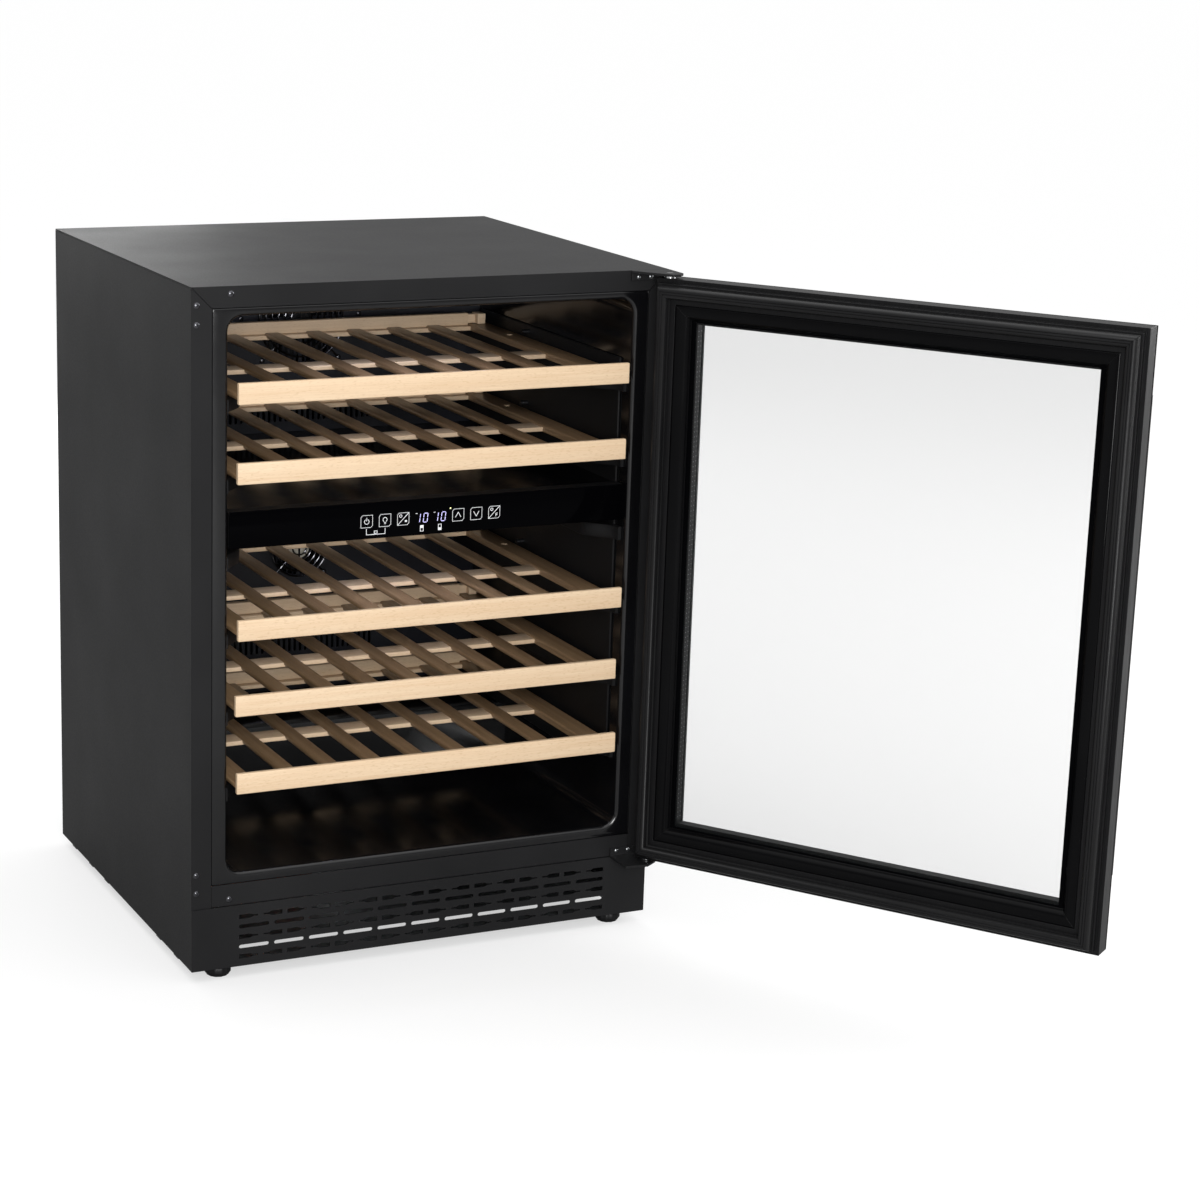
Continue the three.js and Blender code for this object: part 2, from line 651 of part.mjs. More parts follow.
function rearStop() {
  const inner = SHELF_HALF - SIDE_RAIL_WIDTH - GAP;
  const blockEnd = inner + STOP_BLOCK;
  const front = SHELF_REACH - STOP_THICKNESS;
  const low = RACK_TOP - BAR_DROP + GAP;
  const high = low + STOP_HEIGHT;
  const board = box(-inner, inner, front, SHELF_REACH, low, high);
  const blockTop = high - STOP_BLOCK_DROP;
  return board.add(box(-blockEnd, blockEnd, front, SHELF_REACH, RACK_TOP + GAP, blockTop));
}

// ---------------------------------------------------------------- ducts and fans
// struts across a fan opening, with the motor boss and the axle behind it
function fanMotor(fan, fanZ) {
  const half = FAN_STRUT / 2;
  const reach = fan.size / 2;
  const back = DUCT_AT + DUCT_SHEET;
  const bossEnd = back + FAN_BOSS_DEPTH - GAP;
  return union([
    box(-reach, reach, DUCT_AT, back, fanZ - half, fanZ + half),
    box(-half, half, DUCT_AT, back, fanZ - reach, fanZ + reach),
    cylinderY(0, fanZ, fan.hub - FAN_BOSS_INSET, DUCT_AT, bossEnd),
    cylinderY(0, fanZ, AXLE_RADIUS, back, rotorFront() + FAN_DEPTH + AXLE_PAST_HUB, 16),
  ]);
}

// front of the circulation rotors, behind their motor bosses
function rotorFront() {
  return DUCT_AT + DUCT_SHEET + FAN_BOSS_DEPTH;
}

function ductPanel(low, high, fan, fanZ, ventZ) {
  const back = DUCT_AT + DUCT_SHEET;
  const opening = fan.size / 2 - FAN_OPENING_INSET;
  const half = VENT_WIDTH / 2;
  const long = VENT_LENGTH / 2;
  let panel = box(-HALF, HALF, DUCT_AT, back, low + GAP, high);
  panel = panel.intersect(linerBody(-GAP, 0));
  panel = panel.subtract(cylinderY(0, fanZ, opening, DUCT_AT - CUT, back + CUT, 32));
  for (let i = 0; i < VENT_COUNT; i++) {
    const x = (i - (VENT_COUNT - 1) / 2) * VENT_PITCH;
    const [x0, x1] = [x - half, x + half];
    const slot = roundedRectangle(x0, x1, ventZ - long, ventZ + long, half * ROUND_END, 1);
    panel = panel.subtract(acrossY(slot, DUCT_AT - CUT, back + CUT));
  }
  return panel.add(fanMotor(fan, fanZ));
}

function fanGuard(fan, fanZ) {
  const back = DUCT_AT - GAP;
  const plane = back - GUARD_STANDOFF;
  const bolt = fan.boltSpacing / 2;
  const rings = GUARD_RINGS.map((share) => hoop(0, fanZ, (share * fan.size) / 2, plane));
  const arms = [Math.PI / 4, -Math.PI / 4].map((angle) => {
    const arm = new THREE.BoxGeometry(2 * bolt * Math.SQRT2, GUARD_WIRE, GUARD_WIRE);
    arm.rotateY(angle);
    arm.translate(0, plane + GUARD_WIRE / 2, fanZ);
    return solid(arm);
  });
  const feet = [];
  for (const x of [-bolt, bolt]) {
    for (const z of [fanZ - bolt, fanZ + bolt]) {
      feet.push(cylinderY(x, z, GUARD_FOOT_RADIUS, plane, back, 12));
    }
  }
  return union([...rings, ...arms, ...feet]);
}

// a hub with pitched blades, running on an axle along y
function rotor(x, z, y0, fan) {
  const tip = fan.size / 2 - BLADE_CLEARANCE;
  const root = fan.hub - BLADE_THICKNESS;
  const pieces = [cylinderY(x, z, fan.hub, y0, y0 + FAN_DEPTH, 20)];
  for (let i = 0; i < fan.blades; i++) {
    const chord = fan.size * BLADE_CHORD_SHARE;
    const blade = new THREE.BoxGeometry(tip - root, BLADE_THICKNESS, chord);
    blade.rotateX(BLADE_PITCH);
    blade.translate((tip + root) / 2, 0, 0);
    blade.rotateY((i / fan.blades) * 2 * Math.PI);
    blade.translate(x, y0 + FAN_DEPTH / 2, z);
    pieces.push(solid(blade));
  }
  const bore = cylinderY(x, z, AXLE_RADIUS + GAP, y0 - CUT, y0 + FAN_DEPTH + CUT, 16);
  return union(pieces).subtract(bore);
}

// a cooling plate stands over the vents, and always clear of the fan above it
function evaporatorBottom(fan, fanZ, ventZ) {
  const overVents = ventZ + VENT_LENGTH / 2 + GAP;
  return Math.min(overVents, fanZ - fan.size / 2 - GAP - EVAPORATOR.height);
}

// a cooling plate with raised refrigerant channels, standing behind a duct panel
function evaporator(z0) {
  const { half_width: half, height, gap, plate, channels, bulge } = EVAPORATOR;
  const y0 = DUCT_AT + DUCT_SHEET + gap;
  const pieces = [box(-half, half, y0, y0 + plate, z0, z0 + height)];
  const pitch = height / channels;
  for (let i = 0; i < channels; i++) {
    const z = z0 + (i + 0.5) * pitch;
    pieces.push(
      box(-half + pitch, half - pitch, y0 - bulge, y0 + plate / 2, z - bulge, z + bulge),
    );
  }
  return union(pieces);
}

// ---------------------------------------------------------------- control unit and divider
function controlGlass() {
  const half = OPENING_HALF - PANEL_SIDE_GAP;
  return box(-half, half, PANEL_FRONT, PANEL_FRONT + PANEL_GLASS, PANEL_BOTTOM, PANEL_TOP);
}

function controlHousing() {
  const half = OPENING_HALF - PANEL_SIDE_GAP;
  const [low, high] = [PANEL_BOTTOM + HOUSING_INSET, PANEL_TOP - HOUSING_INSET];
  return box(-half, half, HOUSING_FRONT, HOUSING_BACK, low, high);
}

// a moulded shell, open towards the duct panels
function zoneDivider() {
  const half = PLATE_INNER - GAP;
  const inner = half - DIVIDER_WALL;
  const [front, back] = [DIVIDER_FRONT, DUCT_AT - GAP];
  const [low, high] = [DIVIDER_BOTTOM + DIVIDER_WALL, DIVIDER_TOP - DIVIDER_WALL];
  return box(-half, half, front, back, DIVIDER_BOTTOM, DIVIDER_TOP).subtract(
    box(-inner, inner, front + DIVIDER_WALL, back + CUT, low, high),
  );
}

// a strip lamp with its top at the given height
function lamp(top) {
  const half = LAMP.length / 2;
  const y = LAMP.from_front;
  return box(-half, half, y, y + LAMP.width, top - LAMP.height, top);
}

// ---------------------------------------------------------------- door, built closed
// y of a depth counted from the frame's rear face towards the front glass
function doorY(depth) {
  return -DOOR_STANDOFF - depth;
}

// a frame round the door between two insets from its edge and two depths
function doorRing(outer, inner, near, far) {
  const [y0, y1] = [doorY(far), doorY(near)];
  const whole = box(
    -HALF + outer, HALF - outer, y0, y1, DOOR_BOTTOM + outer, DOOR_TOP - outer,
  );
  const middle = box(
    -HALF + inner, HALF - inner, y0 - CUT, y1 + CUT, DOOR_BOTTOM + inner, DOOR_TOP - inner,
  );
  return whole.subtract(middle);
}

function doorFrame() {
  const seat = FRAME_WIDTH - GLASS_SEAT;
  const glassFront = INNER_GLASS_AT + GLASS;
  const rings = union([
    doorRing(0, FRAME_WIDTH, glassFront, FRAME_DEPTH),
    doorRing(0, seat - GAP, INNER_GLASS_AT, glassFront),
    doorRing(0, TRIM_INSET - GAP, FRAME_STEP, INNER_GLASS_AT),
    doorRing(FRAME_STEP_INSET, TRIM_INSET - GAP, 0, FRAME_STEP),
  ]);
  const bore = PIN_RADIUS + GAP;
  const deep = PIN_ENGAGEMENT + GAP;
  return rings
    .subtract(cylinderZ(PIVOT_X, PIVOT_Y, bore, DOOR_BOTTOM - CUT, DOOR_BOTTOM + deep))
    .subtract(cylinderZ(PIVOT_X, PIVOT_Y, bore, DOOR_TOP - deep, DOOR_TOP + CUT));
}

function outerGlass() {
  const near = doorY(FRAME_DEPTH + GAP);
  return box(-HALF, HALF, near - GLASS, near, DOOR_BOTTOM, DOOR_TOP);
}

function innerGlass() {
  const inset = FRAME_WIDTH - GLASS_SEAT;
  return box(
    -HALF + inset,
    HALF - inset,
    doorY(INNER_GLASS_AT + GLASS - GAP),
    doorY(INNER_GLASS_AT + GAP),
    DOOR_BOTTOM + inset,
    DOOR_TOP - inset,
  );
}

// the trim that holds the inner pane slopes towards it in a few facets
function innerTrim() {
  const back = INNER_GLASS_AT - GAP;
  const rings = [];
  for (let i = 0; i < TRIM_FACETS; i++) {
    const width = TRIM_WIDTH * (1 - (TRIM_SLOPE_SHARE * i) / TRIM_FACETS);
    const far = back * (1 - i / TRIM_FACETS);
    const near = back * (1 - (i + 1) / TRIM_FACETS);
    rings.push(doorRing(TRIM_INSET, TRIM_INSET + width, near, far));
  }
  return union(rings);
}

function glazingSpacer() {
  const outer = FRAME_WIDTH + SPACER_CLEARANCE;
  return doorRing(outer, outer + SPACER_WIDTH, INNER_GLASS_AT + GLASS + GAP, FRAME_DEPTH);
}

function doorGasket() {
  const inner = GASKET_INSET + GASKET_WIDTH;
  return doorRing(GASKET_INSET, inner, -GASKET_BASE, -GAP).add(
    doorRing(GASKET_INSET + GASKET_TAPER, inner - GASKET_TAPER, -GASKET_HEIGHT, -GASKET_BASE),
  );
}

function doorHandle() {
  const x0 = -HALF + HANDLE_INSET;
  const x1 = x0 + HANDLE_WIDTH;
  const glassFace = doorY(FRAME_DEPTH + GAP + GLASS);
  const front = glassFace - HANDLE_STANDOFF;
  const middle = (DOOR_BOTTOM + DOOR_TOP) / 2;
  const low = middle - HANDLE_LENGTH / 2;
  const high = middle + HANDLE_LENGTH / 2;
  const section = outline([
    [x0, front + HANDLE_CHAMFER],
    [x0 + HANDLE_CHAMFER, front],
    [x1 - HANDLE_CHAMFER, front],
    [x1, front + HANDLE_CHAMFER],
    [x1, front + HANDLE_DEPTH],
    [x0, front + HANDLE_DEPTH],
  ]);
  const half = HANDLE_POST / 2;
  const [post0, post1] = [x0 + HANDLE_POST_NARROWER, x1 - HANDLE_POST_NARROWER];
  const posts = [low + HANDLE_POST_INSET, high - HANDLE_POST_INSET].map((z) =>
    box(post0, post1, front + HANDLE_CHAMFER, glassFace - GAP, z - half, z + half),
  );
  return union([alongZ(section, low, high), ...posts]);
}

// ---------------------------------------------------------------- hinges
function pivotBore(z0, z1) {
  return cylinderZ(PIVOT_X, PIVOT_Y, PIN_RADIUS + GAP, z0 - CUT, z1 + CUT);
}

function bracketLeg(z0, z1) {
  return box(HALF - BRACKET_WIDTH, HALF, -BRACKET_SHEET - GAP, -GAP, z0, z1);
}

// the upper plate runs out at a slant from its leg to the pivot
function topBracket() {
  const left = HALF - BRACKET_WIDTH;
  const plate = outline([
    [left, -GAP],
    [left, -BRACKET_SHEET - GAP],
    [PIVOT_X - BRACKET_NOSE, -BRACKET_REACH],
    [PIVOT_X + BRACKET_NOSE, -BRACKET_REACH],
    [HALF, -BRACKET_REACH + BRACKET_CORNER],
    [HALF, -GAP],
  ]);
  return alongZ(plate, TOP_PLATE, CABINET_HEIGHT)
    .subtract(pivotBore(TOP_PLATE, CABINET_HEIGHT))
    .add(bracketLeg(CABINET_HEIGHT - BRACKET_LEG, TOP_PLATE + CUT));
}

// the lower plate is wider, with a bevelled outer corner
function bottomBracket() {
  const left = HALF - BRACKET_WIDTH;
  const top = BOTTOM_PLATE + BRACKET_SHEET;
  const plate = outline([
    [left, -GAP],
    [left, -BRACKET_REACH],
    [PIVOT_X - BRACKET_CORNER, -BRACKET_REACH - BRACKET_SHEET],
    [PIVOT_X + BRACKET_CORNER, -BRACKET_REACH + BRACKET_CORNER],
    [HALF, -BRACKET_CORNER],
    [HALF, -GAP],
  ]);
  return alongZ(plate, BOTTOM_PLATE, top)
    .subtract(pivotBore(BOTTOM_PLATE, top))
    .add(bracketLeg(top - CUT, BOTTOM_PLATE + BRACKET_LEG));
}

function hingePin(z0, z1) {
  return cylinderZ(PIVOT_X, PIVOT_Y, PIN_RADIUS, z0 + GAP, z1 - GAP);
}

// ---------------------------------------------------------------- compressor bay
function compressor() {
  const { half_width: halfWidth, half_depth: halfDepth, height, overlap } = COMPRESSOR_FOOT;
  const shell = new THREE.LatheGeometry(
    COMPRESSOR_PROFILE.map(([r, h]) => new THREE.Vector2(r, h)),
    24,
  );
  shell.rotateX(Math.PI / 2);
  shell.translate(COMPRESSOR_X, COMPRESSOR_Y, BAY_FLOOR + height - overlap);
  return solid(shell).add(
    box(
      COMPRESSOR_X - halfWidth,
      COMPRESSOR_X + halfWidth,
      COMPRESSOR_Y - halfDepth,
      COMPRESSOR_Y + halfDepth,
      BAY_FLOOR,
      BAY_FLOOR + height,
    ),
  );
}

// upright fins on rows of tube
function condenser() {
  const { width, depth, height, fins, fin, rows, tube } = CONDENSER;
  const x0 = CONDENSER_X - width / 2;
  const pieces = [];
  for (let i = 0; i < fins; i++) {
    const x = x0 + (i * width) / (fins - 1);
    pieces.push(
      box(x - fin / 2, x + fin / 2, CONDENSER_Y, CONDENSER_Y + depth, BAY_FLOOR, BAY_FLOOR + height),
    );
  }
  for (let i = 0; i < rows; i++) {
    const z = BAY_FLOOR + ((i + 0.5) * height) / rows;
    const y = CONDENSER_Y + depth / 2;
    pieces.push(cylinderX(y, z, tube, x0 - 2 * tube, x0 + width + 2 * tube, 6));
  }
  return union(pieces);
}

function bayFanFrame() {
  const [x, y, z] = [CONDENSER_X, BAY_FAN_Y, BAY_FAN_Z];
  const half = BAY_FAN_HALF;
  const back = y + BAY_FAN_FRAME;
  const boss = back - FAN_STRUT / 2;
  const frame = box(x - half, x + half, y, back, z - half, z + half).subtract(
    cylinderY(x, z, BAY_FAN.size / 2, y - CUT, back + CUT, 28),
  );
  const strut = FAN_STRUT / 2;
  const reach = half - BAY_FAN_RIM / 2;
  return union([
    frame,
    box(x - reach, x + reach, y, y + strut, z - strut, z + strut),
    box(x - strut, x + strut, y, y + strut, z - reach, z + reach),
    cylinderY(x, z, BAY_FAN.hub - 2, y, boss),
    cylinderY(x, z, AXLE_RADIUS, y, boss + FAN_DEPTH + 2 * AXLE_PAST_HUB, 16),
  ]);
}

function inletBlock(grow, back) {
  const halfWidth = INLET.width / 2 + grow;
  const halfHeight = INLET.height / 2 + grow;
  const front = CABINET_DEPTH - INLET.depth;
  return box(
    INLET_X - halfWidth,
    INLET_X + halfWidth,
    front,
    back,
    INLET.z - halfHeight,
    INLET.z + halfHeight,
  );
}

function powerInlet() {
  const { width, height, depth } = INLET_SOCKET;
  const socket = box(
    INLET_X - width / 2,
    INLET_X + width / 2,
    CABINET_DEPTH - depth,
    CABINET_DEPTH + CUT,
    INLET.z - height / 2,
    INLET.z + height / 2,
  );
  return inletBlock(0, CABINET_DEPTH).subtract(socket);
}

// ---------------------------------------------------------------- feet
function foot(x, y) {
  return union([
    cylinderZ(x, y, FOOT_RADIUS, 0, FOOT_HEIGHT, 20),
    cylinderZ(x, y, FOOT_COLLAR_RADIUS, FOOT_HEIGHT - CUT, FLOOR_CLEARANCE - GAP, 16),
    cylinderZ(x, y, FOOT_STEM_RADIUS, FOOT_HEIGHT - CUT, FOOT_STEM_TOP, 16),
  ]);
}

// ---------------------------------------------------------------- assembly
place("left_side_panel", sidePanel(-1), PAINTED_STEEL);
place("right_side_panel", sidePanel(1), PAINTED_STEEL);
place("top_panel", topPanel(), PAINTED_STEEL);
place("back_panel", backPanel(), GALVANISED);
place("compressor_bay_cover", bayCover(), GALVANISED);
place("base_frame", baseFrame(), GALVANISED);
place("lower_rail", lowerRail(), PAINTED_STEEL);
place("kick_grille", kickGrille(), PAINTED_STEEL);
place("liner", liner(), LINER_PLASTIC);
place("left_shelf_support", shelfSupport(-1), MATTE_PLASTIC);
place("right_shelf_support", shelfSupport(1), MATTE_PLASTIC);

const upperDuct = ductPanel(DIVIDER_TOP, OPENING_TOP, UPPER_FAN, UPPER_FAN_Z, UPPER_VENT_Z);
const lowerDuct = ductPanel(STEP_TOP, DIVIDER_BOTTOM, LOWER_FAN, LOWER_FAN_Z, LOWER_VENT_Z);
place("upper_duct_panel", upperDuct, DUCT_PLASTIC);
place("lower_duct_panel", lowerDuct, DUCT_PLASTIC);
place("upper_fan_guard", fanGuard(UPPER_FAN, UPPER_FAN_Z), CHROME);
place("lower_fan_guard", fanGuard(LOWER_FAN, LOWER_FAN_Z), CHROME);
place("upper_fan_rotor", rotor(0, UPPER_FAN_Z, rotorFront(), UPPER_FAN), MATTE_PLASTIC);
place("lower_fan_rotor", rotor(0, LOWER_FAN_Z, rotorFront(), LOWER_FAN), MATTE_PLASTIC);
const upperPlate = evaporator(evaporatorBottom(UPPER_FAN, UPPER_FAN_Z, UPPER_VENT_Z));
const lowerPlate = evaporator(evaporatorBottom(LOWER_FAN, LOWER_FAN_Z, LOWER_VENT_Z));
place("upper_evaporator", upperPlate, BARE_ALUMINIUM);
place("lower_evaporator", lowerPlate, BARE_ALUMINIUM);

place("control_glass", controlGlass(), BLACK_GLASS);
place("control_housing", controlHousing(), MATTE_PLASTIC);
place("zone_divider", zoneDivider(), LINER_PLASTIC);
place("upper_lamp", lamp(OPENING_TOP - GAP), LAMP_LENS);
place("lower_lamp", lamp(DIVIDER_BOTTOM - GAP), LAMP_LENS);

SHELF_BOTTOMS.forEach((bottom, i) => {
  const shelf = new THREE.Group();
  shelf.position.set(0, -SHELF_PULL[i], bottom);
  cooler.add(shelf);
  place(`shelf_${i + 1}_front_board`, frontBoard(), BEECH, shelf);
  place(`shelf_${i + 1}_rack`, slatRack(), BEECH, shelf);
  place(`shelf_${i + 1}_rear_stop`, rearStop(), BEECH, shelf);
});

place("top_hinge_bracket", topBracket(), PAINTED_STEEL);
place("bottom_hinge_bracket", bottomBracket(), PAINTED_STEEL);
place("top_hinge_pin", hingePin(DOOR_TOP - PIN_ENGAGEMENT, CABINET_HEIGHT), CHROME);
place("bottom_hinge_pin", hingePin(BOTTOM_PLATE, DOOR_BOTTOM + PIN_ENGAGEMENT), CHROME);

const door = new THREE.Group();
door.position.set(PIVOT_X, PIVOT_Y, 0);
door.rotation.z = THREE.MathUtils.degToRad(DOOR_OPEN_DEG);
cooler.add(door);
const doorPieces = [
  ["door_frame", doorFrame(), BLACK_ALUMINIUM],
  ["outer_glass", outerGlass(), CLEAR_GLASS],
  ["inner_glass", innerGlass(), CLEAR_GLASS],
  ["glazing_spacer", glazingSpacer(), BARE_ALUMINIUM],
  ["inner_trim", innerTrim(), MATTE_PLASTIC],
  ["door_gasket", doorGasket(), GASKET_VINYL],
  ["door_handle", doorHandle(), BLACK_ALUMINIUM],
];
for (const [name, closed, material] of doorPieces) {
  place(name, closed.translate([-PIVOT_X, -PIVOT_Y, 0]), material, door);
}

place("compressor", compressor(), BLACK_IRON);
place("condenser", condenser(), COPPER);
place("condenser_fan_frame", bayFanFrame(), MATTE_PLASTIC);
const bayRotorFront = BAY_FAN_Y + BAY_FAN_FRAME;
place("condenser_fan_rotor", rotor(CONDENSER_X, BAY_FAN_Z, bayRotorFront, BAY_FAN), MATTE_PLASTIC);
place("power_inlet", powerInlet(), MATTE_PLASTIC);

for (const [sideName, x] of [["left", -FOOT_X], ["right", FOOT_X]]) {
  for (const [endName, y] of Object.entries(FOOT_YS)) {
    place(`${endName}_${sideName}_foot`, foot(x, y), MATTE_PLASTIC);
  }
}

// the origin goes under the middle of everything, with the door as it stands
const bounds = new THREE.Box3().setFromObject(cooler, true);
cooler.position.set(
  -(bounds.min.x + bounds.max.x) / 2,
  -(bounds.min.y + bounds.max.y) / 2,
  -bounds.min.z,
);

export default cooler;
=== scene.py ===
"""The looks of an under-counter wine cooler with two zones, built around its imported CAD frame.

Shapes are worked out in millimetres in the cabinet's own coordinates: x runs right from the
cabinet's middle, y runs back from its front plane and z runs up from the floor. The door is
worked out shut and then turned to the angle at which it rests.
"""

import json
import logging
import math
from collections.abc import Mapping, Sequence
from dataclasses import dataclass, field
from enum import Enum
from typing import Any

import bmesh
import bpy
import numpy as np
from mathutils import Matrix, Vector


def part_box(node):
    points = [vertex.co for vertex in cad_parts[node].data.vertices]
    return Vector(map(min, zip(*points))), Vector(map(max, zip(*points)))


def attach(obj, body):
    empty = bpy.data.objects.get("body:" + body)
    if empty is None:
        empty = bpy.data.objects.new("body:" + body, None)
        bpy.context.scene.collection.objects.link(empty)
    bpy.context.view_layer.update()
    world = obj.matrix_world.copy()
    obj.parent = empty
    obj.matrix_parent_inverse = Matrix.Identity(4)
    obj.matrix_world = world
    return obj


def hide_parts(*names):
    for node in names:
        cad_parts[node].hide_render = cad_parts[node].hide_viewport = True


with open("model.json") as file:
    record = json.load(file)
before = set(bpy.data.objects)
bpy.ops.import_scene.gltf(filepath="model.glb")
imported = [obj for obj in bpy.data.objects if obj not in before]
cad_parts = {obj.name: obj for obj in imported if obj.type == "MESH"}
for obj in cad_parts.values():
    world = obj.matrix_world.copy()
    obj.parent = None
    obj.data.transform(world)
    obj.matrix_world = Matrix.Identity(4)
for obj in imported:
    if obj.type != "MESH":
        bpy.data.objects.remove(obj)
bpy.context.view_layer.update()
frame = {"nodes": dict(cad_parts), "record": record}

LOG = logging.getLogger("wine_cooler")
MM = 0.001
Array = np.ndarray
Tree = bpy.types.NodeTree
Node = bpy.types.Node
Piece = bpy.types.Object
Faces = list[tuple[int, ...]]


class Axis(Enum):
    """A direction that a bar, a grain or a screw runs along."""

    X = 0
    Y = 1
    Z = 2


class Slot(Enum):
    """The record's material slots."""

    PAINTED_STEEL = "painted_steel"
    GALVANISED = "galvanised_steel"
    LINER = "liner_plastic"
    MATTE_PLASTIC = "matte_plastic"
    DUCT = "duct_plastic"
    BEECH = "beech"
    BLACK_ALUMINIUM = "black_aluminium"
    BLACK_GLASS = "black_glass"
    CLEAR_GLASS = "clear_glass"
    GASKET = "gasket_vinyl"
    CHROME = "chrome"
    COPPER = "copper"
    ALUMINIUM = "bare_aluminium"
    LAMP = "lamp_lens"
    IRON = "black_iron"


# ------------------------------------------------------------------ places


@dataclass(frozen=True)
class Datum:
    """Where the cabinet's coordinates lie in the frame, and how the door stands.

    Attributes:
        x: the cabinet's middle, in the frame's metres.
        y: the cabinet's front plane, in the frame's metres.
        pivot: the door's pivot in the frame's metres.
        opening: the angle the door stands open at rest, in radians.
    """

    x: float
    y: float
    pivot: tuple[float, float]
    opening: float

    @classmethod
    def from_frame(cls) -> "Datum":
        """Reads the datum from the top sheet's box and the door's joint.

        Returns:
            The datum.
        """
        low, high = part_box("top_panel")
        joints = frame["record"]["behaviour"]["joints"]
        hinge = next(joint for joint in joints if joint["name"] == "door_hinge")
        return cls(
            x=(low[0] + high[0]) / 2,
            y=low[1],
            pivot=(hinge["pos_m"][0], hinge["pos_m"][1]),
            opening=math.radians(-hinge["range_deg"][0]),
        )

    def to_frame(self, points: Array) -> Array:
        """Turns cabinet millimetres into the frame's metres."""
        return points * MM + np.array([self.x, self.y, 0.0])

    def to_cabinet(self, points: Array) -> Array:
        """Turns the frame's metres into cabinet millimetres."""
        return (points - np.array([self.x, self.y, 0.0])) / MM

    def turned(self, points: Array, angle: float) -> Array:
        """Turns points in the frame about the door's pivot.

        Args:
            points: the points, in the frame's metres.
            angle: the angle in radians.

        Returns:
            The turned points.
        """
        cos, sin = math.cos(angle), math.sin(angle)
        turn = np.array([[cos, -sin], [sin, cos]])
        centre = np.array(self.pivot)
        result = points.copy()
        result[:, :2] = (points[:, :2] - centre) @ turn.T + centre
        return result

    def pivot_in_cabinet(self) -> Array:
        """The pivot's x and y in cabinet millimetres."""
        return self.to_cabinet(np.array([[*self.pivot, 0.0]]))[0, :2]


DATUM = Datum.from_frame()


def node_points(node: str) -> Array:
    """A CAD node's corners.

    Args:
        node: the node's name.

    Returns:
        Its corners in the frame's metres.
    """
    mesh = frame["nodes"][node].data
    points = np.empty(len(mesh.vertices) * 3)
    mesh.vertices.foreach_get("co", points)
    return points.reshape(-1, 3)


def cad(node: str) -> Array:
    """A CAD node's lowest and highest corner, as two rows, in cabinet millimetres."""
    low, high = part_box(node)
    return DATUM.to_cabinet(np.array([tuple(low), tuple(high)]))


def shut(node: str) -> Array:
    """A door node's lowest and highest corner with the door shut, in cabinet millimetres."""
    points = DATUM.to_cabinet(DATUM.turned(node_points(node), -DATUM.opening))
    return np.array([points.min(axis=0), points.max(axis=0)])


# ------------------------------------------------------------------ surfaces


@dataclass(frozen=True)
class Surface:
    """Points and the faces between them.

    Attributes:
        points: the points in cabinet millimetres.
        faces: for each face, the places of its points in their row.
    """

    points: Array
    faces: Faces


def joined(parts: Sequence[Surface]) -> Surface:
    """Puts surfaces together as one: their points in a row, their faces renumbered.

    Args:
        parts: the surfaces.

    Returns:
        One surface with all of their faces.
    """
    starts = np.cumsum([0] + [len(part.points) for part in parts[:-1]])
    faces = [
        tuple(int(start) + corner for corner in face)
        for start, part in zip(starts, parts)
        for face in part.faces
    ]
    return Surface(np.concatenate([part.points for part in parts]), faces)


def loft(rings: Array, closed: bool = False, caps: bool = True) -> Surface:
    """Joins rings of points by four-sided faces: point j of ring i to points j and j + 1 of ring i + 1.

    Args:
        rings: an array of rings, points and coordinates.
        closed: whether the last ring joins the first.
        caps: whether a face closes each end of an open loft.

    Returns:
        The lofted surface.
    """
    count, size = rings.shape[:2]
    ring = np.arange(count if closed else count - 1)[:, None]
    place = np.arange(size)[None, :]
    after, beside = (ring + 1) % count, (place + 1) % size
    corners = [ring * size + place, ring * size + beside, after * size + beside, after * size + place]
    quads = np.stack(np.broadcast_arrays(*corners), axis=-1).reshape(-1, 4)
    faces = list(map(tuple, quads.tolist()))
    if caps and not closed:
        faces.append(tuple(range(size))[::-1])
        faces.append(tuple(range((count - 1) * size, count * size)))
    return Surface(rings.reshape(-1, 3), faces)


def rounded_outline(steps: int = 3) -> tuple[Array, Array]:
    """The makings of a rounded rectangle: which corner each point belongs to, and its direction
    from that corner's centre, a quarter turn of equal angles per corner.

    Args:
        steps: how many chords each corner has.

    Returns:
        The signs of each point's corner, and unit directions.
    """
    corners = np.array([[1, -1], [1, 1], [-1, 1], [-1, -1]], dtype=float)
    starts = np.array([-1, 0, 1, 2]) * math.pi / 2
    angles = starts[:, None] + np.linspace(0, math.pi / 2, steps + 1)[None, :]
    signs = np.repeat(corners, steps + 1, axis=0)
    directions = np.stack([np.cos(angles), np.sin(angles)], axis=-1).reshape(-1, 2)
    return signs, directions


